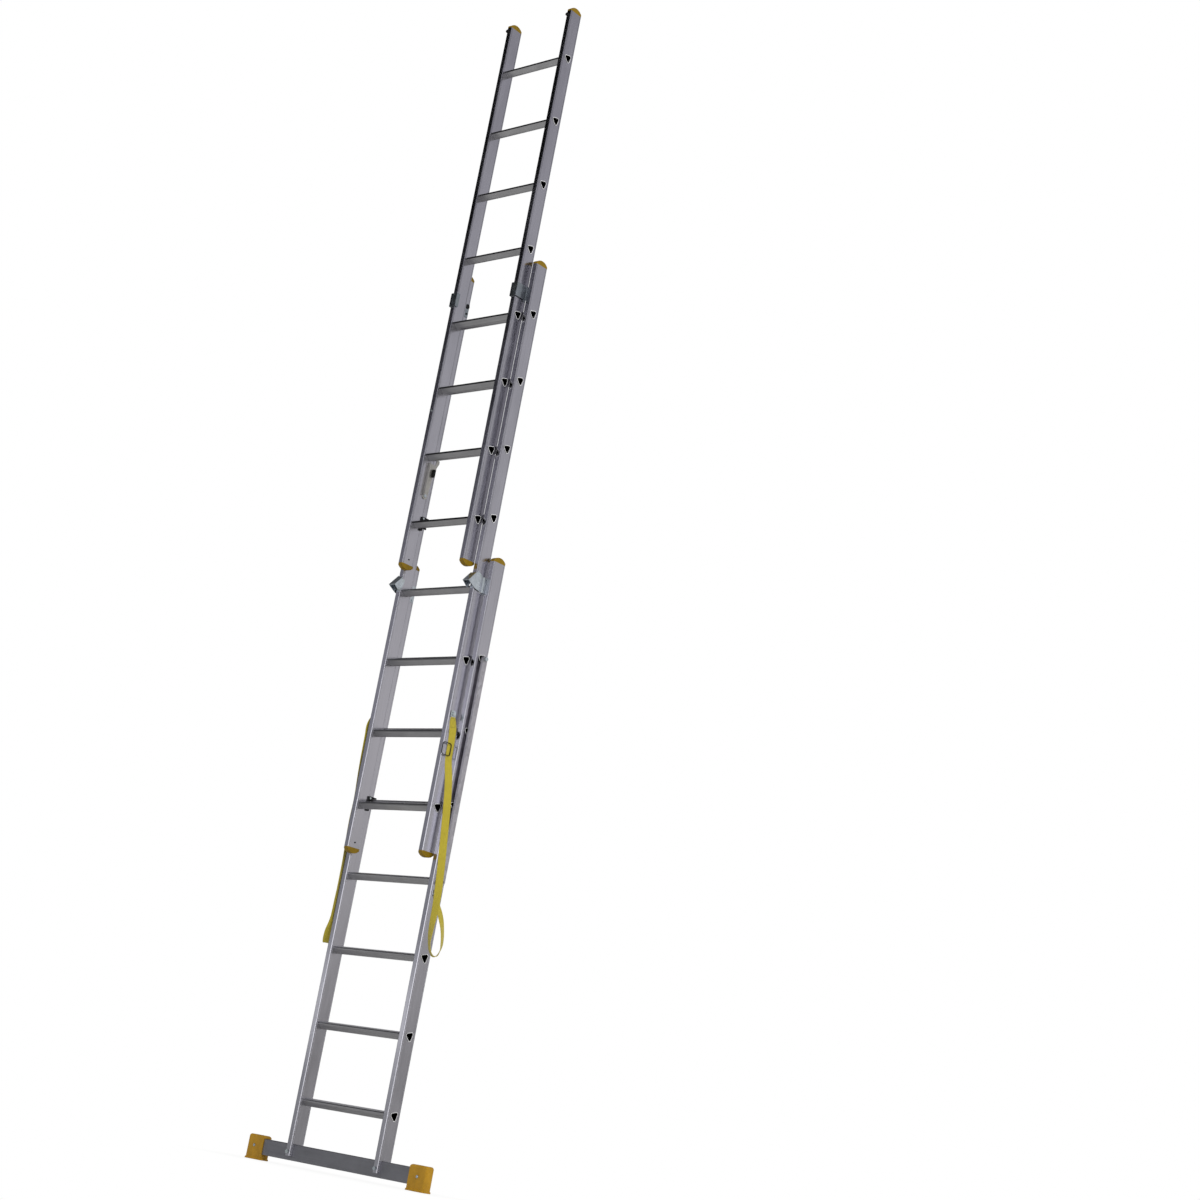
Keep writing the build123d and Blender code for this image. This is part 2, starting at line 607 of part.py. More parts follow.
def strap_route():
    """Right-hand strap's route, from the middle section's anchor round the loop to the base's."""
    lift = STRAP_LIFT + STRAP_THICK / 2
    ends = []
    for section, (y, z) in ((MIDDLE, STRAP_MIDDLE), (BASE, STRAP_BASE)):
        ends.append((section.outer + lift, y, z + STRAP_TAIL))
        ends.append((section.outer + lift, y - STRAP_EASE, z - STRAP_FLAT))
    start, leave, end, arrive = ends
    radius = LOOP_RADIUS / cos(radians(LOOP_TURN / 2))
    loop = []
    for corner in range(LOOP_CORNERS):
        angle = radians(LOOP_TURN * (corner + 0.5))
        out = -radius * cos(angle)
        down = radius * sin(angle)
        loop.append((LOOP_CENTRE[0] + out * LOOP_OUT[0],
                     LOOP_CENTRE[1] + out * LOOP_OUT[1] + down * LOOP_DOWN[0],
                     LOOP_CENTRE[2] + down * LOOP_DOWN[1]))
    upper = [(MIDDLE.outer + off, y, z) for off, y, z in STRAP_BY_MIDDLE]
    lower = [(BASE.outer + off, y, z) for off, y, z in (*STRAP_BY_BASE, *loop, *STRAP_RETURN)]
    return [start, leave, *upper, *lower, arrive, end]


def bend_radii(points):
    """Radius at each corner of a route, from the shorter run beside it and the turn."""
    radii = []
    for before, corner, after in zip(points, points[1:], points[2:]):
        first = Vector(*corner) - Vector(*before)
        second = Vector(*after) - Vector(*corner)
        turn = radians(first.get_angle(second))
        radii.append(STRAP_SHARE * min(first.length, second.length) / tan(turn / 2))
    return radii


def strap():
    """Right-hand webbing strap, drilled for its two anchor bolts."""
    points = strap_route()
    radii = bend_radii(points)
    print("strap bend radii", [round(radius, 1) for radius in radii])
    path = FilletPolyline(*points, radius=radii)
    print("strap length", round(path.length, 1))
    start = Plane(origin=points[0], x_dir=(0, 1, 0), z_dir=path % 0)
    edge = (Pos(0, STRAP_WIDTH / 2, 0) * path).wire()
    band = sweep(start * Rectangle(STRAP_WIDTH, STRAP_THICK), path=path, binormal=edge)
    for section, (y, z) in ((MIDDLE, STRAP_MIDDLE), (BASE, STRAP_BASE)):
        band -= post(ANCHOR_RADIUS + HOLE_FIT, section.outer, STRAP_LIFT + 2 * STRAP_THICK, y, z)
    return band


def anchor(section, spot):
    """Bolt and washer plate that clamp a strap's end to the right-hand outer web."""
    y, z = spot
    plate_x = section.outer + 2 * STRAP_LIFT + STRAP_THICK
    plate = across(Pos(y, z) * RectangleRounded(*ANCHOR_PLATE, ANCHOR_RADIUS), plate_x, ANCHOR_PLATE_THICK)
    head = post(ANCHOR_HEAD, plate_x + ANCHOR_PLATE_THICK, ANCHOR_PROUD, y, z)
    inside = section.outer - 2 * STILE_WALL
    shank = post(ANCHOR_RADIUS, inside, plate_x - inside, y, z)
    return plate + head + shank


def anchor_hole(section, spot):
    return post(ANCHOR_RADIUS + HOLE_FIT, section.outer - STILE_WALL, STILE_WALL, *spot)


def buckle(centre, off_stile):
    """Rounded wire ring that lies on the outside of the right-hand strap."""
    ring = Pos(*centre) * RectangleRounded(*BUCKLE_SIZE, BUCKLE_ROUND)
    path = (Plane.YZ.offset(MIDDLE.outer + off_stile) * ring).wire()
    start = Plane(origin=path @ 0, z_dir=path % 0)
    return sweep(start * Circle(BUCKLE_WIRE), path=path)


def drilled(body, tools):
    for tool in tools:
        body -= tool
    return body


def front_hole(x, z):
    return dowel(STOP_BOLT_RADIUS / 2 + HOLE_FIT, TOP.front, STILE_WALL, x, z)


def both(solid):
    """A piece and its mirror image, for one node."""
    return [solid, mirrored(solid)]


def build():
    """Every named solid of the ladder, in the frame of the base section's front face."""
    parts = {}

    def pair(name, right):
        parts[name + "_right"] = right
        parts[name + "_left"] = mirrored(right)

    guide_spots = [(MIDDLE.front + y, GUIDE_Z + z) for y, z in GUIDE_RIVETS]
    hook_spots = [(y, HOOK_Z + z) for y, z in HOOK_BOLTS]
    middle_rivet, middle_tool = cap_rivets(MIDDLE)
    top_rivet, top_tool = cap_rivets(TOP)
    middle_claw_rivets, middle_claw_tools = claw_rivets(MIDDLE, BASE)
    top_claw_rivets, top_claw_tools = claw_rivets(TOP, MIDDLE)
    pin_hole = post(LEVER_PIN_RADIUS + HOLE_FIT, TOP.inner, STILE_WALL, *lever_place(LEVER_PIVOT))
    knob_hole = front_hole(TOP.stile_x(), TOP.rung_z(RUNG_COUNT - 1) + STOP_KNOB_Z)

    pair("base_stile", drilled(base_stile(), rivet_holes(BASE, hook_spots) + [anchor_hole(BASE, STRAP_BASE)]))
    pair("middle_stile", drilled(stile(MIDDLE), rivet_holes(MIDDLE, guide_spots) + middle_claw_tools
                                 + [middle_tool, anchor_hole(MIDDLE, STRAP_MIDDLE)]))
    pair("top_stile", drilled(stile(TOP), top_claw_tools + [top_tool, pin_hole, knob_hole]))
    stop_hole = front_hole(-TOP.stile_x(), TOP.rung + STOP_BOLT_RUNG_Z)
    parts["top_stile_left"] -= stop_hole
    parts["base_rungs"] = rungs(BASE)
    parts["middle_rungs"] = rungs(MIDDLE)
    parts["top_rungs"] = rungs(TOP)
    pair("base_cap", cap(BASE))
    pair("middle_top_cap", cap(MIDDLE))
    pair("middle_bottom_cap", cap(MIDDLE, top=False) - middle_tool)
    pair("top_top_cap", cap(TOP))
    pair("top_bottom_cap", cap(TOP, top=False) - top_tool)
    parts["middle_cap_rivets"] = both(middle_rivet)
    parts["top_cap_rivets"] = both(top_rivet)

    parts["stabiliser_bar"] = stabiliser_bar()
    parts["bar_bolts"] = both(bar_bolt())
    pair("foot", foot())
    parts["foot_screws"] = both(foot_screw())

    pair("guide_bracket", guide_bracket())
    guide_rivets = [web_rivet(MIDDLE, *spot, size) for spot, size in zip(guide_spots, GUIDE_HEADS)]
    parts["guide_rivets"] = guide_rivets + [mirrored(rivet) for rivet in guide_rivets]
    pair("hook_bracket", hook_bracket())
    hook_rivets = [web_rivet(BASE, y, z) for y, z in hook_spots]
    parts["hook_rivets"] = hook_rivets + [mirrored(rivet) for rivet in hook_rivets]

    pair("middle_rung_hook", drilled(claw(MIDDLE, BASE), middle_claw_tools))
    parts["middle_hook_rivets"] = middle_claw_rivets + [mirrored(rivet) for rivet in middle_claw_rivets]
    pair("top_rung_hook", drilled(claw(TOP, MIDDLE), top_claw_tools))
    parts["top_hook_rivets"] = top_claw_rivets + [mirrored(rivet) for rivet in top_claw_rivets]

    pair("lock_lever", lock_lever())
    pair("lever_grip", lever_grip())
    parts["lever_pins"] = both(lever_pin())
    parts["stop_knobs"] = both(stop_knob())
    parts["stop_bolt"] = stop_bolt()

    pair("stay_bar", stay_bar())
    parts["stay_plugs"] = both(stay_plug())
    parts["stay_bolts"] = both(stay_bolt())

    pair("strap", strap())
    parts["middle_anchors"] = both(anchor(MIDDLE, STRAP_MIDDLE))
    parts["base_anchors"] = both(anchor(BASE, STRAP_BASE))
    left_buckle = buckle(BUCKLE_LEFT, BUCKLE_OFF_STILE - BUCKLE_LEFT_NEARER)
    parts["buckles"] = [buckle(BUCKLE_RIGHT, BUCKLE_OFF_STILE), mirrored(left_buckle)]
    return parts


def as_list(piece):
    return piece if isinstance(piece, list) else [piece]


def main():
    os.makedirs("parts", exist_ok=True)
    parts = build()
    boxes = []
    for name, piece in parts.items():
        if not name.startswith("strap_"):
            boxes += [solid.bounding_box() for solid in as_list(piece)]
    front = min(box.min.Y for box in boxes)
    rear = max(box.max.Y for box in boxes)
    low = min(box.min.Z for box in boxes)
    to_origin = Pos(0, -(front + rear) / 2, -low)
    print("shift to the origin", round(-(front + rear) / 2, 3), round(-low, 3))
    for name, piece in parts.items():
        solids = [(to_origin * part).solid() for part in as_list(piece)]
        node = solids[0] if len(solids) == 1 else Compound(solids)
        export_step(node, os.path.join("parts", name + ".step"))


if __name__ == "__main__":
    main()
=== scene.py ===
"""Dresses a three-section aluminium ladder: finishes for its parts, webbing straps and a plain studio."""

import math

import bmesh
import bpy
from bpy.props import FloatProperty, FloatVectorProperty, IntProperty, PointerProperty
from mathutils import Matrix, Vector


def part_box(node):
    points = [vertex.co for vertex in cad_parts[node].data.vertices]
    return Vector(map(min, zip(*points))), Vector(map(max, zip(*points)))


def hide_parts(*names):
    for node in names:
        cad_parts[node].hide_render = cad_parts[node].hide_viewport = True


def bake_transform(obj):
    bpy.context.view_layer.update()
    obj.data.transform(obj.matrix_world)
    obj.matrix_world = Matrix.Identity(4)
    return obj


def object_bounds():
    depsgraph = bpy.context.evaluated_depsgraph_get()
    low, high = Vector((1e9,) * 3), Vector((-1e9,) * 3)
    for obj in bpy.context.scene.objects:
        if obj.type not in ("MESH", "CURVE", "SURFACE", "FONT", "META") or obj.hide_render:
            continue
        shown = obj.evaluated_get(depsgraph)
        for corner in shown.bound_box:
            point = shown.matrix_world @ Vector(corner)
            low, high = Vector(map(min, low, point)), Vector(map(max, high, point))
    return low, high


bl_info = {
    "name": "Extension ladder",
    "version": (1, 0, 0),
    "blender": (4, 5, 0),
    "location": "3D View > Sidebar > Ladder",
    "description": "Finishes, straps and studio for a three-section extension ladder",
    "category": "Object",
}

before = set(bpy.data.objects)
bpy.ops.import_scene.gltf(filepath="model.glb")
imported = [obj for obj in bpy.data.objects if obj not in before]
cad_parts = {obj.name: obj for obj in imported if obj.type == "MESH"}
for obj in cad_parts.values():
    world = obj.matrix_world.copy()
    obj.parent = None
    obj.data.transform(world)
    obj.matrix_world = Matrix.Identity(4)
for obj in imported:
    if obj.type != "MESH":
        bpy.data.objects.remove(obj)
CAD_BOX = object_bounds()

SIDES = (("left", -1.0), ("right", 1.0))
SECTIONS = ("base", "middle", "top")
MICRON = 1e-6

# The straps' routes, in metres: the end under its plate on the middle section, the long run down,
# the loop it hangs in, and the end under its plate on the base section
STRAP_ROUTES = {
    "right": (
        (0.2092, -0.0085, 1.6840), (0.2120, -0.0070, 1.6600), (0.2165, -0.0020, 1.6280),
        (0.2150, 0.0035, 1.5880), (0.2145, 0.0050, 1.5480), (0.2148, 0.0055, 1.5120),
        (0.2400, 0.0040, 1.4350), (0.2500, 0.0110, 1.3350), (0.2580, 0.0179, 1.2200),
        (0.2660, 0.0258, 1.1000), (0.2720, 0.0295, 0.9900), (0.2720, 0.0255, 0.9000),
        (0.2720, 0.0290, 0.8380), (0.2760, 0.0480, 0.8040), (0.2775, 0.0770, 0.8060),
        (0.2765, 0.0930, 0.8460), (0.2705, 0.0865, 0.9050), (0.2580, 0.0740, 0.9560),
        (0.2490, 0.0600, 0.9850), (0.2414, 0.0495, 1.0080), (0.2412, 0.0485, 1.0400),
    ),
    "left": (
        (-0.2092, -0.0085, 1.6840), (-0.2110, -0.0110, 1.6640), (-0.2180, -0.0170, 1.6400),
        (-0.2152, -0.0160, 1.5950), (-0.2152, -0.0150, 1.5400), (-0.2200, -0.0090, 1.4500),
        (-0.2270, 0.0020, 1.3600), (-0.2440, 0.0130, 1.2600), (-0.2470, 0.0240, 1.1500),
        (-0.2490, 0.0275, 1.0700), (-0.2485, 0.0270, 0.9930), (-0.2470, 0.0275, 0.9290),
        (-0.2490, 0.0290, 0.8900), (-0.2640, 0.0320, 0.8560), (-0.2730, 0.0390, 0.8180),
        (-0.2790, 0.0520, 0.8120), (-0.2850, 0.0640, 0.8350), (-0.2820, 0.0660, 0.8900),
        (-0.2640, 0.0600, 0.9500), (-0.2480, 0.0545, 0.9850), (-0.2414, 0.0490, 1.0080),
        (-0.2412, 0.0485, 1.0400),
    ),
}

# How far each strap is turned about its own line, in degrees, at shares of its length from the upper end
STRAP_TURNS = {
    "right": (
        (0.0, 0.0), (0.02, 10.0), (0.045, 25.0), (0.07, 22.0), (0.09, 18.0), (0.14, 18.0), (0.18, 33.0),
        (0.27, 38.0), (0.45, 45.0), (0.55, 52.0), (0.65, 80.0), (0.70, 102.0), (0.725, 118.0),
        (0.76, 124.0), (0.80, 130.0), (0.83, 153.0), (0.88, 164.0), (0.905, 176.0), (0.93, 180.0),
        (1.0, 180.0),
    ),
    "left": (
        (0.0, 0.0), (0.15, 0.0), (0.30, 18.0), (0.60, 18.0), (0.69, 0.0), (0.745, -42.0), (0.82, -50.0),
        (0.88, -30.0), (0.94, 0.0), (1.0, 0.0),
    ),
}

# The webbing's rounded edge, in shares of half its thickness, and the points across its face, in shares of
# half its width
WEBBING_EDGE = ((0.0, 0.0), (0.4, 0.75), (1.0, 1.0))
WEBBING_FACE = (-0.5, 0.0, 0.5)

# How dark the painted shade on the lips of each section's treads is, standing in for the dark that the lips
# mirror
RUNG_LIP_SHADES = {"base": 0.15, "middle": 0.55, "top": 0.95}

# How far, in metres, the edges that a finish draws are blurred to each side
LIP_SHADE_BLUR = 0.001
MOUTH_SHADE_BLUR = 0.0003
BOUND_BLUR = 0.0006

# How near, in metres, the walls round a rung's hollow stand, and the near-black painted shade in it
HOLLOW_REACH = 0.03
PAINTED_HOLLOW_BLACK = (0.02, 0.02, 0.02)

# The lamps: place, point they face, size in metres, power in watts, and whether the metal mirrors them
LAMPS = {
    "key": ((6.0, -1.6, 4.6), (0.0, 0.0, 2.2), (3.0, 6.0), 220.0, False),
    "low_front": ((-3.0, -3.2, 0.82), (0.0, 0.0, 0.8), (1.6, 0.42), 1.6, True),
}

# What the ladder's gloss sees of the room: directions to the rear and to the side the camera stands on, each
# with the band over which it takes over from the front, and the light of all three by the direction's height
STUDIO_REAR = (0.6, 0.8, 0.0)
STUDIO_SIDE = (0.72, -0.69, 0.0)
REAR_BAND = (-0.45, 0.10)
SIDE_BAND = (0.55, 0.85)
REAR_SHADES = (
    (0.00, (0.225, 0.215, 0.210)), (0.05, (0.330, 0.325, 0.325)), (0.10, (0.485, 0.480, 0.480)),
    (0.15, (0.635, 0.625, 0.630)), (0.20, (0.675, 0.665, 0.675)), (0.27, (0.440, 0.440, 0.460)),
    (0.36, (0.500, 0.500, 0.525)), (0.42, (0.430, 0.430, 0.465)), (0.46, (0.365, 0.360, 0.395)),
    (0.80, (0.245, 0.245, 0.260)),
)
FRONT_SHADES = (
    (0.00, (0.20, 0.21, 0.23)), (0.05, (0.30, 0.31, 0.34)), (0.12, (0.25, 0.255, 0.28)),
    (0.16, (0.13, 0.13, 0.15)), (0.175, (0.15, 0.15, 0.17)), (0.19, (0.58, 0.58, 0.64)),
    (0.222, (0.58, 0.58, 0.64)), (0.25, (0.14, 0.14, 0.17)), (0.30, (0.04, 0.04, 0.05)),
    (0.35, (0.003, 0.003, 0.003)),
)
SIDE_SHADES = (
    (0.00, (1.50, 1.51, 1.56)), (0.10, (1.70, 1.71, 1.76)), (0.20, (1.00, 1.01, 1.06)),
    (0.25, (0.34, 0.34, 0.38)), (0.32, (0.12, 0.12, 0.14)),
)
WHITE = (1.0, 1.0, 1.0)

FLOOR_SIZE = 60.0
FLOOR_DROP = 0.0005
CAMERA_SENSOR = 36.0
CAMERA_REACH = 200.0


def colour(name, text, value):
    """A colour that a user may change, written as it should look on a screen."""
    return FloatVectorProperty(name=name, description=text, subtype="COLOR_GAMMA", size=3, min=0.0, max=1.0,
                               default=value)


def length(name, text, value):
    """A length that a user may change, in metres."""
    return FloatProperty(name=name, description=text, subtype="DISTANCE", unit="LENGTH", default=value)


def share(name, text, value):
    """A share from nought to one that a user may change."""
    return FloatProperty(name=name, description=text, subtype="FACTOR", min=0.0, max=1.0, default=value)


def direction(name, text, value):
    """A direction that a user may change."""
    return FloatVectorProperty(name=name, description=text, subtype="DIRECTION", size=3, default=value)


class LadderFinishSettings(bpy.types.PropertyGroup):
    """Colours of the ladder's finishes and sizes of what they draw on it."""

    stile: colour("Stile aluminium", "Mill-finish aluminium of the stiles", (0.806, 0.801, 0.826))
    bar: colour("Bar aluminium", "Aluminium of the stabiliser bar", (0.60, 0.60, 0.62))
    rung: colour("Rung aluminium", "Aluminium of the rungs", (0.785, 0.783, 0.788))
    cap: colour("Cap plastic", "Ochre plastic of the stile caps", (0.53, 0.42, 0.03))
    foot: colour("Foot plastic", "Ochre plastic of the feet", (0.72, 0.54, 0.12))
    zinc: colour("Zinc plate", "Zinc plating of hook brackets and fasteners", (0.87, 0.905, 0.925))
    # Painted shade: a darker copy of the zinc plate, for guide brackets that look darker by what they mirror
    shaded_zinc: colour("Dull zinc plate", "Dulled zinc plating of the guide brackets", (0.65, 0.68, 0.70))
    lever: colour("Lever steel", "Plain steel of the lock levers", (0.79, 0.78, 0.75))
    stay: colour("Galvanised stay", "Galvanised steel of the stay bars", (0.80, 0.79, 0.81))
    black: colour("Black parts", "Black plastic and black steel", (0.06, 0.06, 0.065))
    rubbed: colour("Rubbed black", "Grey of black steel where parts touch", (0.20, 0.20, 0.21))
    webbing: colour("Webbing", "Yellow polyester webbing", (0.785, 0.715, 0.20))
    groove_inset: length("Groove inset", "From a stile's edges to the drawn line on its web", 0.007)
    groove_pitch: length("Groove pitch", "Between the two drawn lines on a web", 0.049)
    groove_width: length("Groove width", "Width of a drawn line on a web", 0.0022)
    groove_depth: length("Groove depth", "Depth of a drawn line on a web", 0.0007)
    rung_pitch: length("Rung pitch", "From one rung to the next", 0.28)
    rung_centre: length("Rung centre", "From the lowest point of the rungs to the lowest centre", 0.01573)
    rung_setback: length("Rung setback", "From a stile's front to the rungs' centres", 0.0335)
    rung_tilt: FloatProperty(name="Rung tilt", description="How far a rung's tread leans", subtype="ANGLE",
                             unit="ROTATION", default=math.radians(15.0))
    core_tread: length("Rung core tread", "Width of the triangle that a rung's outline goes round", 0.019)
    core_height: length("Rung core height", "Height of the triangle that a rung's outline goes round", 0.016)
    # The mouth reach places the painted black shade of the rung's opening on its end face
    shade_mouth_reach: length("Rung mouth", "From that triangle to the edge of the black opening", 0.0066)
    # The lip height and reach place the painted shade along the rungs' lips
    shade_lip_height: length("Lip height", "From a rung's centre up to its dark lip", 0.006)
    shade_lip_reach: length("Lip reach", "From a rung's centre along the tread to its dark lip", 0.008)
    rib_pitch: length("Tread rib pitch", "Between the ribs of a rung's tread", 0.0042)
    rib_depth: length("Tread rib depth", "Depth of the ribs of a rung's tread", 0.0009)


class LadderStrapSettings(bpy.types.PropertyGroup):
    """Sizes of the webbing straps."""

    width: length("Strap width", "Width of the webbing", 0.028)
    thickness: length("Strap thickness", "Thickness of the webbing", 0.002)
    span: length("Strap length", "Length of one strap from end to end", 1.158)
    tip_width: share("Tip width", "Share of the width at the cut upper end", 0.5)
    tip_length: length("Tip length", "Length over which the upper end narrows", 0.026)
    seam_from: length("Seam start", "From a strap's end to its sewn box", 0.016)
    seam_length: length("Seam length", "Length of the sewn box", 0.034)
    seam_width: length("Seam width", "Width of the sewn box", 0.020)
    stitch_pitch: length("Stitch pitch", "From one stitch of the sewn box to the next", 0.003)
    twill_pitch: length("Twill pitch", "From one herringbone line of the weave to the next", 0.0026)
    warp_pitch: length("Warp pitch", "From one warp rib of the weave to the next", 0.0014)
    bound_width: length("Bound edge", "Width of the bound edges", 0.0024)
    steps: IntProperty(name="Steps along", description="Cross-sections along one strap", default=260, min=40)


class LadderStudioSettings(bpy.types.PropertyGroup):
    """Floor, camera and even light."""

    floor: colour("Floor", "Pale floor under the ladder", (0.95, 0.95, 0.95))
    floor_near: length("Floor near", "From the bar to where the floor starts to fade", 0.03)
    floor_fade: length("Floor fade", "From the bar to where the floor is as white as the background", 0.28)
    floor_white: share("Floor white", "Share of the background's white in the floor beside the bar", 0.9)
    floor_shine: share("Floor in gloss", "Brightness of the floor as the metal mirrors it", 0.34)
    ambient: share("Ambient light", "Strength of the even light from all round", 0.6)
    camera_place: FloatVectorProperty(name="Camera place", description="Where the camera stands",
                                      subtype="TRANSLATION", unit="LENGTH", size=3,
                                      default=(5.67325, -5.40088, 0.18082))
    camera_right: direction("Camera right", "Direction to the right of the picture",
                            (0.7621747, 0.6247010, 0.1698187))
    camera_up: direction("Camera up", "Direction to the top of the picture",
                         (0.0378396, -0.3048616, 0.9516447))
    lens: FloatProperty(name="Lens", description="Focal length in millimetres on a 36 mm sensor",
                        unit="CAMERA", default=63.48)


class Nodes:
    """An emptied node tree, with short ways to add nodes and join them."""

    def __init__(self, tree):
        self.tree = tree
        tree.nodes.clear()

    def node(self, kind, **values):
        made = self.tree.nodes.new(kind)
        for key, value in values.items():
            setattr(made, key, value)
        return made

    def join(self, start, end):
        self.tree.links.new(start, end)

    def set(self, socket, value):
        """Joins an output to a node's socket, or writes a plain value on it."""
        if isinstance(value, bpy.types.NodeSocket):
            self.join(value, socket)
        else:
            socket.default_value = value

    def axis(self, vector, name):
        split = self.node("ShaderNodeSeparateXYZ")
        self.join(vector, split.inputs["Vector"])
        return split.outputs[name]

    def math(self, operation, *values):
        made = self.node("ShaderNodeMath", operation=operation)
        for socket, value in zip(made.inputs, values):
            self.set(socket, value)
        return made.outputs["Value"]

    def multiply(self, first, second):
        return self.math("MULTIPLY", first, second)

    def subtract(self, first, second):
        return self.math("SUBTRACT", first, second)

    def wave(self, value, pitch):
        """A sine along a value, one full turn in each pitch."""
        return self.math("SINE", self.multiply(value, 2.0 * math.pi / pitch))

    def hypotenuse(self, first, second):
        squares = self.math("ADD", self.math("POWER", first, 2.0), self.math("POWER", second, 2.0))
        return self.math("SQRT", squares)

    def dot(self, vector, other):
        made = self.node("ShaderNodeVectorMath", operation="DOT_PRODUCT")
        self.join(vector, made.inputs[0])
        made.inputs[1].default_value = other
        return made.outputs["Value"]

    def spread(self, value, low, high, start=0.0, end=1.0):
        """Maps low to high onto start to end, held at both ends."""
        made = self.node("ShaderNodeMapRange")
        for socket, number in zip(made.inputs, (value, low, high, start, end)):
            self.set(socket, number)
        return made.outputs["Result"]

    def ramp(self, value, *stops):
        """Colours along a value, each stop a place and a colour."""
        made = self.node("ShaderNodeValToRGB")
        points = made.color_ramp.elements
        points.remove(points[1])
        points[0].position = stops[0][0]
        for place, _ in stops[1:]:
            points.new(place)
        for point, (_, shade) in zip(points, stops):
            point.color = (*shade, 1.0)
        self.join(value, made.inputs["Fac"])
        return made.outputs["Color"]

    def mix(self, factor, first, second):
        """A colour between two colours, plain or joined, by a factor."""
        made = self.node("ShaderNodeMix", data_type="RGBA")
        self.set(made.inputs[0], factor)
        for socket, value in ((made.inputs[6], first), (made.inputs[7], second)):
            self.set(socket, value if isinstance(value, bpy.types.NodeSocket) else (*value, 1.0))
        return made.outputs[2]


class Finish(Nodes):
    """One material: a shader, and textures placed on the piece."""

    def __init__(self, name, **values):
        self.material = bpy.data.materials.new(name)
        self.material.use_nodes = True
        super().__init__(self.material.node_tree)
        self.shader = self.node("ShaderNodeBsdfPrincipled")
        output = self.node("ShaderNodeOutputMaterial")
        self.join(self.shader.outputs["BSDF"], output.inputs["Surface"])
        self.place = self.node("ShaderNodeTexCoord")
        for key, value in values.items():
            socket = key.replace("_", " ").title().replace("Ior", "IOR")
            self.shader.inputs[socket].default_value = value

    def feed(self, socket, value):
        """Joins an output to one of the shader's sockets."""
        self.join(value, self.shader.inputs[socket])

    def where(self, scale=(1.0, 1.0, 1.0), turn=(0.0, 0.0, 0.0)):
        """Place on the piece, turned and stretched."""
        mapping = self.node("ShaderNodeMapping")
        mapping.inputs["Scale"].default_value = scale
        mapping.inputs["Rotation"].default_value = turn
        self.join(self.place.outputs["Object"], mapping.inputs["Vector"])
        return mapping.outputs["Vector"]

    def noise(self, vector, scale, detail=3.0, rough=0.5):
        made = self.node("ShaderNodeTexNoise")
        self.join(vector, made.inputs["Vector"])
        made.inputs["Scale"].default_value = scale
        made.inputs["Detail"].default_value = detail
        made.inputs["Roughness"].default_value = rough
        return made.outputs["Fac"]

    def cells(self, vector, scale):
        made = self.node("ShaderNodeTexVoronoi")
        self.join(vector, made.inputs["Vector"])
        made.inputs["Scale"].default_value = scale
        return made.outputs["Color"]

    def occlusion(self, reach):
        """Nought deep inside the piece's own hollows, one on its open faces."""
        made = self.node("ShaderNodeAmbientOcclusion", only_local=True, samples=8)
        made.inputs["Distance"].default_value = reach
        return made.outputs["AO"]

    def bump(self, *layers):
        """Stacks height fields, each with a depth in metres, on the shader's normal."""
        below = None
        for height, depth in layers:
            made = self.node("ShaderNodeBump")
            made.inputs["Strength"].default_value = 1.0
            made.inputs["Distance"].default_value = depth
            self.join(height, made.inputs["Height"])
            if below is not None:
                self.join(below, made.inputs["Normal"])
            below = made.outputs["Normal"]
        self.feed("Normal", below)


def linear(shade, factor=1.0):
    """A colour as the shader takes it, from a screen colour, made lighter or darker by a factor."""
    result = []
    for part in shade:
        value = part / 12.92 if part <= 0.04045 else ((part + 0.055) / 1.055) ** 2.4
        result.append(min(1.0, value * factor))
    return tuple(result)


def draw_lines(finish, shade, stretch, scale, dark, light):
    """Fine lines left by drawing or brushing a metal, and its colour, dark to light, across them."""
    drawn = finish.noise(finish.where(scale=stretch), scale=scale, detail=4.0, rough=0.65)
    return drawn, finish.ramp(drawn, (0.30, linear(shade, dark)), (0.72, linear(shade, light)))


def line_mask(finish, value, offset, pitch, width):
    """One on thin lines at an offset and then every pitch along a value, nought between them."""
    steps = finish.math("DIVIDE", finish.subtract(value, offset), pitch)
    away = finish.math("ABSOLUTE", finish.subtract(steps, finish.math("ROUND", steps)))
    edge = width / 2 / pitch
    return finish.spread(away, edge, 0.35 * edge)


def stile_aluminium(settings):
    """Mill-finish extrusion: draw lines along the stile, two drawn grooves darkened with painted shade, and
    light handling marks.
    """
    metal = settings.stile
    finish = Finish("stile_aluminium", metallic=1.0, specular_tint=(0.3, 0.3, 0.3, 1.0))
    drawn, shade = draw_lines(finish, metal, stretch=(1.0, 1.0, 0.004), scale=520.0, dark=0.86, light=1.10)
    cloud = finish.noise(finish.where(scale=(1.0, 1.0, 0.35)), scale=14.0, detail=3.0, rough=0.6)
    blotch = finish.ramp(cloud, (0.32, linear(metal, 0.86)), (0.70, linear(metal, 1.12)))
    shade = finish.mix(0.5, shade, blotch)
    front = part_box("base_stile_right")[0][1] + settings.groove_inset
    depth = finish.axis(finish.where(), "Y")
    groove_and_shade = line_mask(finish, depth, front, settings.groove_pitch, settings.groove_width)
    side = finish.math("ABSOLUTE", finish.axis(finish.place.outputs["Normal"], "X"))
    groove_and_shade = finish.multiply(groove_and_shade, finish.spread(side, 0.90, 0.98))
    scratched = finish.where(scale=(1.0, 1.0, 0.12), turn=(0.5, 0.2, 0.0))
    scuff = finish.spread(finish.noise(scratched, scale=60.0, detail=6.0, rough=0.75), 0.66, 0.72)
    shade = finish.mix(finish.multiply(scuff, 0.35), shade, linear(metal, 1.35))
    # Painted shade: the grooves are darkened to stand in for the shade in them; their depth is a bump
    shade = finish.mix(finish.multiply(groove_and_shade, 0.45), shade, linear(metal, 0.45))
    finish.feed("Base Color", shade)
    finish.feed("Roughness", finish.spread(cloud, 0.3, 0.7, 0.17, 0.27))
    finish.bump((drawn, 30 * MICRON), (finish.subtract(1.0, groove_and_shade), settings.groove_depth))
    return finish.material


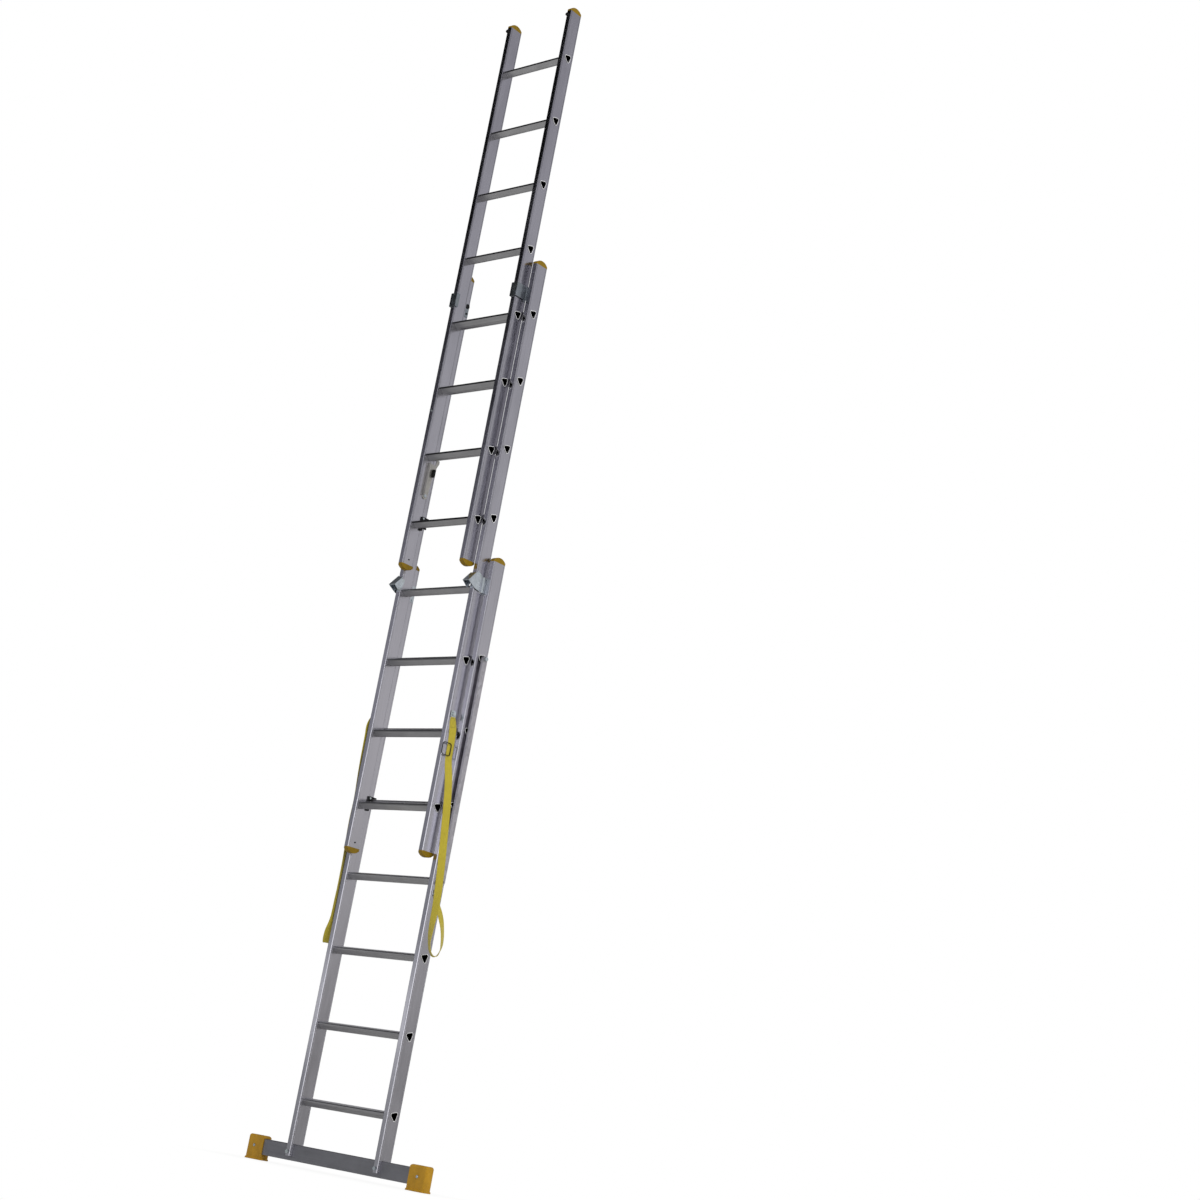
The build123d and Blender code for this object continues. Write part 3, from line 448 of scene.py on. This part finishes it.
def bar_aluminium(settings):
    """The stabiliser bar's extrusion, drawn across the ladder, a little darker and scuffed."""
    metal = settings.bar
    finish = Finish("bar_aluminium", metallic=0.85)
    drawn, shade = draw_lines(finish, metal, stretch=(0.004, 1.0, 1.0), scale=460.0, dark=0.86, light=1.10)
    cloud = finish.noise(finish.where(scale=(0.6, 1.0, 1.0)), scale=22.0, detail=5.0, rough=0.65)
    scratched = finish.where(scale=(1.0, 1.0, 0.3), turn=(0.0, 0.6, 0.3))
    scuff = finish.spread(finish.noise(scratched, scale=90.0, detail=7.0, rough=0.75), 0.62, 0.70)
    shade = finish.mix(finish.spread(cloud, 0.35, 0.75, 0.0, 0.35), shade, linear(metal, 0.70))
    shade = finish.mix(finish.multiply(scuff, 0.4), shade, linear(metal, 1.5))
    finish.feed("Base Color", shade)
    finish.feed("Roughness", finish.spread(cloud, 0.3, 0.7, 0.36, 0.5))
    finish.bump((drawn, 60 * MICRON), (scuff, 50 * MICRON))
    return finish.material


def rung_place(finish, settings, section):
    """Place on a rung's own cross-section: the distance along its tread from the centre, and up from it."""
    here = finish.where()
    pitch = settings.rung_pitch
    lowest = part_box(section + "_rungs")[0][2] + settings.rung_centre
    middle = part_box(section + "_stile_right")[0][1] + settings.rung_setback
    back = finish.subtract(finish.axis(here, "Y"), middle)
    level = finish.subtract(finish.axis(here, "Z"), lowest - pitch / 2)
    level = finish.subtract(finish.math("MODULO", level, pitch), pitch / 2)
    sine = math.sin(settings.rung_tilt)
    cosine = math.cos(settings.rung_tilt)
    along = finish.math("ADD", finish.multiply(back, cosine), finish.multiply(level, sine))
    up = finish.subtract(finish.multiply(level, cosine), finish.multiply(back, sine))
    return finish.math("ABSOLUTE", along), up


def rung_edge(finish, settings, along, up):
    """Distance from the edges of the small triangle that a rung's rounded outline goes round."""
    half = settings.core_tread / 2
    rise = settings.core_height
    over = finish.math("MAXIMUM", finish.subtract(along, half), 0.0)
    tread = finish.hypotenuse(over, finish.subtract(up, rise / 2))
    climb = finish.math("ADD", up, rise / 2)
    reach = finish.math("ADD", finish.multiply(along, half), finish.multiply(climb, rise))
    reach = finish.spread(reach, 0.0, half ** 2 + rise ** 2)
    flank = finish.hypotenuse(finish.subtract(along, finish.multiply(reach, half)),
                              finish.subtract(climb, finish.multiply(reach, rise)))
    return finish.math("MINIMUM", tread, flank)


def rung_aluminium(settings, section):
    """One section's rungs: draw lines along them, ribbed treads, painted shade on the lips, painted
    highlights on the end rims and painted black shade in the mouths and hollows.
    """
    metal = settings.rung
    finish = Finish(section + "_rung_aluminium")
    drawn, shade = draw_lines(finish, metal, stretch=(0.004, 1.0, 1.0), scale=560.0, dark=0.84, light=1.08)
    cloud = finish.noise(finish.where(scale=(0.5, 1.0, 1.0)), scale=26.0, detail=4.0, rough=0.6)
    shade = finish.mix(finish.spread(cloud, 0.35, 0.75, 0.0, 0.3), shade, linear(metal, 0.62))
    along, up = rung_place(finish, settings, section)
    normal = finish.place.outputs["Normal"]
    tread = finish.spread(finish.axis(normal, "Z"), 0.75, 0.9)
    rib = finish.multiply(finish.spread(finish.wave(along, settings.rib_pitch), -0.5, 0.6), tread)
    worn = finish.multiply(rib, finish.spread(cloud, 0.3, 0.7, 0.35, 0.8))
    shade = finish.mix(worn, shade, linear(metal, 1.35))
    # Painted shade: a dark line along the tread's upper lips, off the tread itself, darkest on the top
    # section
    lip_shade = finish.multiply(finish.spread(up, settings.shade_lip_height - LIP_SHADE_BLUR, settings.shade_lip_height + LIP_SHADE_BLUR),
                          finish.spread(along, settings.shade_lip_reach - LIP_SHADE_BLUR, settings.shade_lip_reach + LIP_SHADE_BLUR))
    lip_shade = finish.multiply(lip_shade, finish.subtract(1.0, tread))
    shade = finish.mix(finish.multiply(lip_shade, RUNG_LIP_SHADES[section]), shade, linear(metal, 0.04))
    # Painted highlight: the rungs' end faces are made near-white and less metallic; the same mask keeps the
    # mouths' painted shade on the end faces
    end_face_highlight = finish.spread(finish.math("ABSOLUTE", finish.axis(normal, "X")), 0.8, 0.95)
    shade = finish.mix(end_face_highlight, shade, linear(metal, 2.6))
    edge = rung_edge(finish, settings, along, up)
    # Painted shade: the opening is painted black out past the real hole, and the hollow's inside is painted
    # near-black where it is occluded
    mouth_shading = finish.spread(edge, settings.shade_mouth_reach + MOUTH_SHADE_BLUR, settings.shade_mouth_reach - MOUTH_SHADE_BLUR)
    hollow_shading = finish.spread(finish.occlusion(HOLLOW_REACH), 0.55, 0.85, 1.0, 0.0)
    inside_shading = finish.math("MAXIMUM", finish.multiply(mouth_shading, end_face_highlight), hollow_shading)
    finish.feed("Base Color", finish.mix(inside_shading, shade, linear(PAINTED_HOLLOW_BLACK)))
    finish.feed("Roughness", finish.spread(cloud, 0.3, 0.7, 0.27, 0.38))
    finish.feed("Metallic", finish.spread(end_face_highlight, 0.0, 1.0, 0.9, 0.1))
    finish.bump((drawn, 40 * MICRON), (rib, settings.rib_depth))
    return finish.material


def moulded_plastic(name, plastic, grain, rough):
    """Coloured moulded plastic with a fine spark-eroded grain, flow marks and rubbed dirt."""
    finish = Finish(name, specular_ior_level=0.3)
    here = finish.where()
    flow = finish.noise(finish.where(scale=(1.0, 1.0, 0.4)), scale=34.0, detail=4.0, rough=0.6)
    dirt = finish.noise(here, scale=120.0, detail=6.0, rough=0.7)
    shade = finish.ramp(flow, (0.28, linear(plastic, 0.80)), (0.55, linear(plastic)),
                        (0.80, linear(plastic, 1.14)))
    shade = finish.mix(finish.spread(dirt, 0.58, 0.76, 0.0, 0.45), shade, linear(plastic, 0.50))
    finish.feed("Base Color", shade)
    finish.feed("Roughness", finish.spread(dirt, 0.3, 0.7, rough - 0.07, rough + 0.10))
    finish.bump((finish.noise(here, scale=1500.0, detail=2.0), grain), (dirt, 80 * MICRON))
    return finish.material


def zinc_plate(name, zinc):
    """Zinc plating: a cool grey with soft cloudy patches and a faint straw tint."""
    finish = Finish(name, metallic=0.95)
    here = finish.where()
    cloud = finish.noise(here, scale=38.0, detail=4.0, rough=0.6)
    tint = finish.noise(here, scale=17.0, detail=2.0)
    straw = linear(zinc, 0.92)[:2] + linear(zinc, 0.62)[2:]
    shade = finish.ramp(cloud, (0.30, linear(zinc, 0.74)), (0.72, linear(zinc, 1.12)))
    shade = finish.mix(finish.spread(tint, 0.52, 0.75, 0.0, 0.35), shade, straw)
    finish.feed("Base Color", shade)
    finish.feed("Roughness", finish.spread(cloud, 0.3, 0.7, 0.16, 0.30))
    finish.bump((finish.noise(here, scale=900.0, detail=2.0), 30 * MICRON))
    return finish.material


def lever_steel(settings):
    """Plain pressed steel of the lock levers, brushed along the lever and dulled in patches."""
    metal = settings.lever
    finish = Finish("lever_steel", metallic=0.85)
    brushed, shade = draw_lines(finish, metal, stretch=(1.0, 1.0, 0.02), scale=640.0, dark=0.84, light=1.12)
    cloud = finish.noise(finish.where(), scale=44.0, detail=4.0, rough=0.6)
    shade = finish.mix(finish.spread(cloud, 0.45, 0.75, 0.0, 0.4), shade, linear(metal, 0.66))
    finish.feed("Base Color", shade)
    finish.feed("Roughness", finish.spread(cloud, 0.3, 0.7, 0.28, 0.44))
    finish.bump((brushed, 40 * MICRON))
    return finish.material


def galvanised_steel(settings):
    """Hot-dip galvanising: flat crystal spangles of differing greys, dulled in patches."""
    metal = settings.stay
    finish = Finish("galvanised_steel", metallic=0.85)
    here = finish.where(scale=(1.0, 1.0, 0.7))
    spangle = finish.axis(finish.cells(here, scale=95.0), "X")
    cloud = finish.noise(here, scale=18.0, detail=4.0, rough=0.6)
    shade = finish.ramp(spangle, (0.0, linear(metal, 0.80)), (1.0, linear(metal, 1.22)))
    shade = finish.mix(finish.spread(cloud, 0.45, 0.75, 0.0, 0.5), shade, linear(metal, 0.72))
    finish.feed("Base Color", shade)
    finish.feed("Roughness", finish.spread(spangle, 0.0, 1.0, 0.30, 0.50))
    finish.bump((spangle, 60 * MICRON), (finish.noise(here, scale=700.0, detail=2.0), 40 * MICRON))
    return finish.material


def black_steel(settings):
    """Black finish on steel with a fine texture, rubbed grey where parts touch."""
    finish = Finish("black_steel", metallic=0.35)
    here = finish.where()
    rub = finish.noise(here, scale=90.0, detail=6.0, rough=0.7)
    shade = finish.ramp(rub, (0.35, linear(settings.black, 0.8)), (0.62, linear(settings.black, 1.4)),
                        (0.82, linear(settings.rubbed)))
    finish.feed("Base Color", shade)
    finish.feed("Roughness", finish.spread(rub, 0.3, 0.75, 0.48, 0.32))
    finish.bump((finish.noise(here, scale=1300.0, detail=2.0), 40 * MICRON))
    return finish.material


def stitches(finish, across, along, strap):
    """One on the thread of the sewn box and cross near each end of a strap."""
    from_end = finish.math("MINIMUM", along, finish.subtract(strap.span, along))
    side = finish.math("DIVIDE", finish.math("ABSOLUTE", across), strap.seam_width / 2)
    up = finish.math("ABSOLUTE", finish.subtract(from_end, strap.seam_from + strap.seam_length / 2))
    up = finish.math("DIVIDE", up, strap.seam_length / 2)
    out = finish.math("MAXIMUM", side, up)
    box = finish.spread(finish.math("ABSOLUTE", finish.subtract(out, 1.0)), 0.10, 0.04)
    cross = finish.spread(finish.math("ABSOLUTE", finish.subtract(side, up)), 0.10, 0.04)
    cross = finish.multiply(finish.math("LESS_THAN", out, 1.0), cross)
    gap = finish.wave(finish.math("ADD", across, along), strap.stitch_pitch)
    return finish.multiply(finish.math("MAXIMUM", box, cross), finish.spread(gap, -0.7, -0.4))


def woven_webbing(settings, strap):
    """Polyester webbing: warp ribs crossed by a herringbone, bound edges, rubbed patches and sewn ends."""
    yarn = settings.webbing
    finish = Finish("woven_webbing", roughness=0.72, sheen_weight=0.25, sheen_roughness=0.5)
    across = finish.axis(finish.place.outputs["UV"], "X")
    along = finish.axis(finish.place.outputs["UV"], "Y")
    here = finish.where()
    zigzag = finish.math("PINGPONG", across, strap.width / 8)
    twill = finish.spread(finish.wave(finish.math("ADD", along, zigzag), strap.twill_pitch), -1.0, 1.0)
    warp = finish.spread(finish.wave(across, strap.warp_pitch), -1.0, 1.0, 0.45, 1.0)
    weave = finish.multiply(twill, warp)
    edge = strap.width / 2 - strap.bound_width
    bound = finish.spread(finish.math("ABSOLUTE", across), edge - BOUND_BLUR, edge + BOUND_BLUR)
    rub = finish.noise(here, scale=26.0, detail=5.0, rough=0.65)
    fleck = finish.noise(here, scale=520.0, detail=3.0, rough=0.6)
    seam = stitches(finish, across, along, strap)
    shade = finish.ramp(weave, (0.05, linear(yarn, 0.62)), (0.75, linear(yarn, 1.10)))
    shade = finish.mix(finish.spread(rub, 0.45, 0.75, 0.0, 0.35), shade, linear(yarn, 0.62))
    shade = finish.mix(finish.multiply(bound, 0.5), shade, linear(yarn, 0.78))
    shade = finish.mix(finish.spread(fleck, 0.60, 0.75, 0.0, 0.3), shade, linear(yarn, 1.3))
    shade = finish.mix(finish.multiply(seam, 0.8), shade, linear(yarn, 0.35))
    finish.feed("Base Color", shade)
    finish.bump((weave, 250 * MICRON), (bound, 300 * MICRON), (fleck, 80 * MICRON), (seam, 400 * MICRON))
    return finish.material


def dress(material, *nodes):
    """Gives one finish to CAD parts."""
    for name in nodes:
        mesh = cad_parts[name].data
        mesh.materials.clear()
        mesh.materials.append(material)


def pair(*names):
    """The left and right part of each name."""
    return [f"{name}_{side}" for name in names for side, _ in SIDES]


class LADDER_OT_stiles(bpy.types.Operator):
    """Finishes the stiles and the stabiliser bar"""

    bl_idname = "ladder.stiles"
    bl_label = "Stiles and bar"

    def execute(self, context):
        settings = context.scene.ladder_finish
        dress(stile_aluminium(settings), *pair("base_stile", "middle_stile", "top_stile"))
        dress(bar_aluminium(settings), "stabiliser_bar")
        return {"FINISHED"}


class LADDER_OT_rungs(bpy.types.Operator):
    """Finishes the rungs of all three sections"""

    bl_idname = "ladder.rungs"
    bl_label = "Rungs"

    def execute(self, context):
        for section in SECTIONS:
            dress(rung_aluminium(context.scene.ladder_finish, section), section + "_rungs")
        return {"FINISHED"}


class LADDER_OT_caps(bpy.types.Operator):
    """Finishes the stile caps and the feet"""

    bl_idname = "ladder.caps"
    bl_label = "Caps and feet"

    def execute(self, context):
        settings = context.scene.ladder_finish
        cap = moulded_plastic("cap_plastic", settings.cap, grain=60 * MICRON, rough=0.42)
        foot = moulded_plastic("foot_plastic", settings.foot, grain=120 * MICRON, rough=0.5)
        dress(cap, *pair("base_cap", "middle_top_cap", "middle_bottom_cap"))
        dress(cap, *pair("top_top_cap", "top_bottom_cap"))
        dress(foot, *pair("foot"))
        return {"FINISHED"}


class LADDER_OT_brackets(bpy.types.Operator):
    """Finishes the plated brackets, levers and fasteners"""

    bl_idname = "ladder.brackets"
    bl_label = "Brackets and fasteners"

    def execute(self, context):
        settings = context.scene.ladder_finish
        zinc = zinc_plate("zinc_plate", settings.zinc)
        dress(zinc, *pair("hook_bracket"))
        dress(zinc, "hook_rivets", "middle_hook_rivets", "top_hook_rivets", "bar_bolts", "foot_screws")
        dress(zinc, "lever_pins", "stop_bolt", "stay_bolts", "middle_anchors", "base_anchors")
        # The guide brackets take the darker copy of the zinc plate, a painted shade
        dress(zinc_plate("shaded_zinc_plate", settings.shaded_zinc), *pair("guide_bracket"))
        dress(lever_steel(settings), *pair("lock_lever"))
        return {"FINISHED"}


class LADDER_OT_stays(bpy.types.Operator):
    """Finishes the galvanised stay bars"""

    bl_idname = "ladder.stays"
    bl_label = "Stay bars"

    def execute(self, context):
        dress(galvanised_steel(context.scene.ladder_finish), *pair("stay_bar"))
        return {"FINISHED"}


class LADDER_OT_black_parts(bpy.types.Operator):
    """Finishes the black plastic and black steel parts"""

    bl_idname = "ladder.black_parts"
    bl_label = "Black parts"

    def execute(self, context):
        settings = context.scene.ladder_finish
        steel = black_steel(settings)
        dress(steel, *pair("middle_rung_hook", "top_rung_hook"))
        dress(steel, "guide_rivets", "middle_cap_rivets", "top_cap_rivets", "buckles")
        plastic = moulded_plastic("black_plastic", settings.black, grain=100 * MICRON, rough=0.48)
        dress(plastic, *pair("lever_grip"))
        dress(plastic, "stop_knobs", "stay_plugs")
        return {"FINISHED"}


def spline_points(name, route):
    """Points close together along a smooth curve that starts and ends at the route's ends."""
    curve = bpy.data.curves.new(name + "_line", "CURVE")
    curve.dimensions = "3D"
    spline = curve.splines.new("NURBS")
    spline.points.add(len(route) - 1)
    for point, place in zip(spline.points, route):
        point.co = (*place, 1.0)
    spline.order_u = 3
    spline.use_endpoint_u = True
    spline.resolution_u = 24
    holder = bpy.data.objects.new(name + "_line", curve)
    bpy.context.collection.objects.link(holder)
    bpy.context.view_layer.update()
    mesh = bpy.data.meshes.new_from_object(holder.evaluated_get(bpy.context.evaluated_depsgraph_get()))
    points = [vertex.co.copy() for vertex in mesh.vertices]
    bpy.data.meshes.remove(mesh)
    bpy.data.objects.remove(holder)
    bpy.data.curves.remove(curve)
    return points


def even_points(points, count):
    """Points at equal steps along a line of points, and the step."""
    reach = [0.0]
    for before, after in zip(points, points[1:]):
        reach.append(reach[-1] + (after - before).length)
    step = reach[-1] / (count - 1)
    result = []
    at = 0
    for index in range(count):
        want = min(index * step, reach[-1])
        while at < len(points) - 2 and reach[at + 1] < want:
            at += 1
        part = (want - reach[at]) / (reach[at + 1] - reach[at])
        result.append(points[at].lerp(points[at + 1], part))
    return result, step


def turn_at(stops, part):
    """Angle of a strap about its own line, in radians, at a share of its length."""
    for (before, first), (after, last) in zip(stops, stops[1:]):
        if part <= after:
            return math.radians(first + (last - first) * (part - before) / (after - before))
    return math.radians(stops[-1][1])


def band_outline(settings):
    """Cross-section of the webbing, as places across it and up from its middle, with rounded edges."""
    half = settings.width / 2
    thick = settings.thickness / 2
    edge = [(across * thick, up * thick) for across, up in WEBBING_EDGE]
    upper = [(across - half, up) for across, up in edge]
    upper += [(part * half, thick) for part in WEBBING_FACE]
    upper += [(half - across, up) for across, up in reversed(edge)]
    return upper + [(across, -up) for across, up in upper[-2:0:-1]]


def strap_mesh(name, points, step, turns, sign, settings):
    """A flat woven band along a line, turned about it, with a narrowed upper end and a UV map."""
    outline = band_outline(settings)
    work = bmesh.new()
    rings = []
    last = len(points) - 1
    for index, point in enumerate(points):
        line = (points[min(index + 1, last)] - points[max(index - 1, 0)]).normalized()
        turn = turn_at(turns, index / last)
        ruling = Vector((sign * math.sin(turn), math.cos(turn), 0.0))
        ruling = (ruling - line * ruling.dot(line)).normalized()
        out = ruling.cross(line)
        widened = (1.0 - settings.tip_width) * index * step / settings.tip_length
        wide = ruling * min(1.0, settings.tip_width + widened)
        rings.append([work.verts.new(point + wide * across + out * up) for across, up in outline])
    layer = work.loops.layers.uv.new("UVMap")
    size = len(outline)
    for index in range(last):
        for corner in range(size):
            following = (corner + 1) % size
            face = work.faces.new((rings[index][corner], rings[index][following],
                                   rings[index + 1][following], rings[index + 1][corner]))
            places = ((corner, index), (following, index), (following, index + 1), (corner, index + 1))
            for loop, (across, along) in zip(face.loops, places):
                loop[layer].uv = (outline[across][0], along * step)
    for along in (0, last):
        face = work.faces.new(rings[along])
        for loop, (across, _) in zip(face.loops, outline):
            loop[layer].uv = (across, along * step)
    bmesh.ops.recalc_face_normals(work, faces=work.faces)
    for face in work.faces:
        face.smooth = True
    mesh = bpy.data.meshes.new(name)
    work.to_mesh(mesh)
    work.free()
    return mesh


class LADDER_OT_straps(bpy.types.Operator):
    """Makes the two webbing straps that hang between the base and the middle section"""

    bl_idname = "ladder.straps"
    bl_label = "Webbing straps"

    def execute(self, context):
        settings = context.scene.ladder_strap
        webbing = woven_webbing(context.scene.ladder_finish, settings)
        for side, sign in SIDES:
            name = "webbing_strap_" + side
            route = STRAP_ROUTES[side]
            points, step = even_points(spline_points(name, route), settings.steps)
            mesh = strap_mesh(name, points, step, STRAP_TURNS[side], sign, settings)
            strap = bpy.data.objects.new(name, mesh)
            context.collection.objects.link(strap)
            strap.data.materials.append(webbing)
            strap.visible_glossy = False
            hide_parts("strap_" + side)
            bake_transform(strap)
        return {"FINISHED"}


def area_lamp(name, place, target, size, power, mirrored):
    """A soft rectangular lamp that faces a point, with or without its own reflection in the metal."""
    lamp = bpy.data.lights.new(name, "AREA")
    lamp.shape = "RECTANGLE"
    lamp.size, lamp.size_y = size
    lamp.energy = power
    holder = bpy.data.objects.new(name, lamp)
    bpy.context.collection.objects.link(holder)
    holder.location = place
    holder.rotation_euler = (Vector(target) - Vector(place)).to_track_quat("-Z", "Y").to_euler()
    holder.visible_glossy = mirrored


def studio_world(settings):
    """White to the camera, an even soft light on the ladder, and for its gloss a room with a pale rear,
    a bright side where the camera stands and a front that is dark above."""
    world = bpy.data.worlds.new("studio")
    world.use_nodes = True
    world.cycles.sampling_method = "NONE"
    nodes = Nodes(world.node_tree)
    towards = nodes.node("ShaderNodeTexCoord").outputs["Generated"]
    height = nodes.axis(towards, "Z")
    to_rear = nodes.spread(nodes.dot(towards, STUDIO_REAR), *REAR_BAND)
    to_side = nodes.spread(nodes.dot(towards, STUDIO_SIDE), *SIDE_BAND)
    gloss = nodes.mix(to_rear, nodes.ramp(height, *FRONT_SHADES), nodes.ramp(height, *REAR_SHADES))
    gloss = nodes.mix(to_side, gloss, nodes.ramp(height, *SIDE_SHADES))
    path = nodes.node("ShaderNodeLightPath")
    seen = nodes.math("MAXIMUM", path.outputs["Is Camera Ray"], path.outputs["Is Transmission Ray"])
    shade = nodes.mix(path.outputs["Is Glossy Ray"], (settings.ambient,) * 3, gloss)
    background = nodes.node("ShaderNodeBackground")
    nodes.join(nodes.mix(seen, shade, WHITE), background.inputs["Color"])
    output = nodes.node("ShaderNodeOutputWorld")
    nodes.join(background.outputs["Background"], output.inputs["Surface"])
    bpy.context.scene.world = world


def floor_finish(settings):
    """Pale floor that keeps the ladder's shadow near the bar and fades to the white background beyond it."""
    material = bpy.data.materials.new("studio_floor")
    material.use_nodes = True
    nodes = Nodes(material.node_tree)
    low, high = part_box("stabiliser_bar")
    place = nodes.node("ShaderNodeTexCoord").outputs["Object"]
    beside = nodes.subtract(nodes.math("ABSOLUTE", nodes.axis(place, "X")), high[0])
    across = nodes.subtract(nodes.axis(place, "Y"), (low[1] + high[1]) / 2)
    away = nodes.hypotenuse(nodes.math("MAXIMUM", beside, 0.0), across)
    path = nodes.node("ShaderNodeLightPath")
    seen = nodes.math("MAXIMUM", path.outputs["Is Camera Ray"], path.outputs["Is Glossy Ray"])
    seen = nodes.math("MAXIMUM", seen, path.outputs["Is Transmission Ray"])
    faded = nodes.spread(away, settings.floor_near, settings.floor_fade, settings.floor_white, 1.0)
    white = nodes.node("ShaderNodeEmission")
    glow = nodes.mix(path.outputs["Is Glossy Ray"], WHITE, (settings.floor_shine,) * 3)
    nodes.join(glow, white.inputs["Color"])
    plain = nodes.node("ShaderNodeBsdfDiffuse")
    plain.inputs["Color"].default_value = (*linear(settings.floor), 1.0)
    mix = nodes.node("ShaderNodeMixShader")
    nodes.join(nodes.multiply(seen, faded), mix.inputs[0])
    nodes.join(plain.outputs["BSDF"], mix.inputs[1])
    nodes.join(white.outputs["Emission"], mix.inputs[2])
    output = nodes.node("ShaderNodeOutputMaterial")
    nodes.join(mix.outputs["Shader"], output.inputs["Surface"])
    return material


def studio_camera(settings):
    """The camera, turned by the directions to the right and the top of its picture."""
    camera = bpy.data.cameras.new("camera")
    camera.lens = settings.lens
    camera.sensor_width = CAMERA_SENSOR
    camera.sensor_fit = "HORIZONTAL"
    camera.clip_end = CAMERA_REACH
    holder = bpy.data.objects.new("camera", camera)
    bpy.context.collection.objects.link(holder)
    right = Vector(settings.camera_right)
    up = Vector(settings.camera_up)
    turn = Matrix((right, up, right.cross(up))).transposed()
    holder.matrix_world = Matrix.Translation(settings.camera_place) @ turn.to_4x4()
    return holder


class LADDER_OT_studio(bpy.types.Operator):
    """Makes the floor, the soft lamps and the camera"""

    bl_idname = "ladder.studio"
    bl_label = "Studio"

    def execute(self, context):
        settings = context.scene.ladder_studio
        bpy.ops.object.select_all(action="DESELECT")
        level = CAD_BOX[0][2] - FLOOR_DROP
        bpy.ops.mesh.primitive_plane_add(size=FLOOR_SIZE, location=(0.0, 0.0, level))
        floor = context.active_object
        floor.name = "studio_floor"
        floor.data.materials.append(floor_finish(settings))
        studio_world(settings)
        for name, values in LAMPS.items():
            area_lamp(name, *values)
        context.scene.camera = studio_camera(settings)
        context.scene.view_settings.view_transform = "Standard"
        return {"FINISHED"}


class LADDER_PT_panel(bpy.types.Panel):
    """Lists the ladder's steps and the values they use."""

    bl_idname = "LADDER_PT_panel"
    bl_label = "Extension ladder"
    bl_space_type = "VIEW_3D"
    bl_region_type = "UI"
    bl_category = "Ladder"

    def draw(self, context):
        for step in STEPS:
            self.layout.operator(step.bl_idname)
        for group, kind in GROUPS.items():
            box = self.layout.box()
            for name in kind.__annotations__:
                box.prop(getattr(context.scene, group), name)


STEPS = (LADDER_OT_stiles, LADDER_OT_rungs, LADDER_OT_caps, LADDER_OT_brackets, LADDER_OT_stays,
         LADDER_OT_black_parts, LADDER_OT_straps, LADDER_OT_studio)
GROUPS = {"ladder_finish": LadderFinishSettings, "ladder_strap": LadderStrapSettings,
          "ladder_studio": LadderStudioSettings}


def register():
    for made in (*GROUPS.values(), *STEPS, LADDER_PT_panel):
        bpy.utils.register_class(made)
    for name, group in GROUPS.items():
        setattr(bpy.types.Scene, name, PointerProperty(type=group))


def unregister():
    for name in GROUPS:
        delattr(bpy.types.Scene, name)
    for made in (LADDER_PT_panel, *reversed(STEPS), *GROUPS.values()):
        bpy.utils.unregister_class(made)


def main():
    register()
    bpy.ops.ladder.stiles()
    bpy.ops.ladder.rungs()
    bpy.ops.ladder.caps()
    bpy.ops.ladder.brackets()
    bpy.ops.ladder.stays()
    bpy.ops.ladder.black_parts()
    bpy.ops.ladder.straps()
    bpy.ops.ladder.studio()


if __name__ == "__main__":
    main()
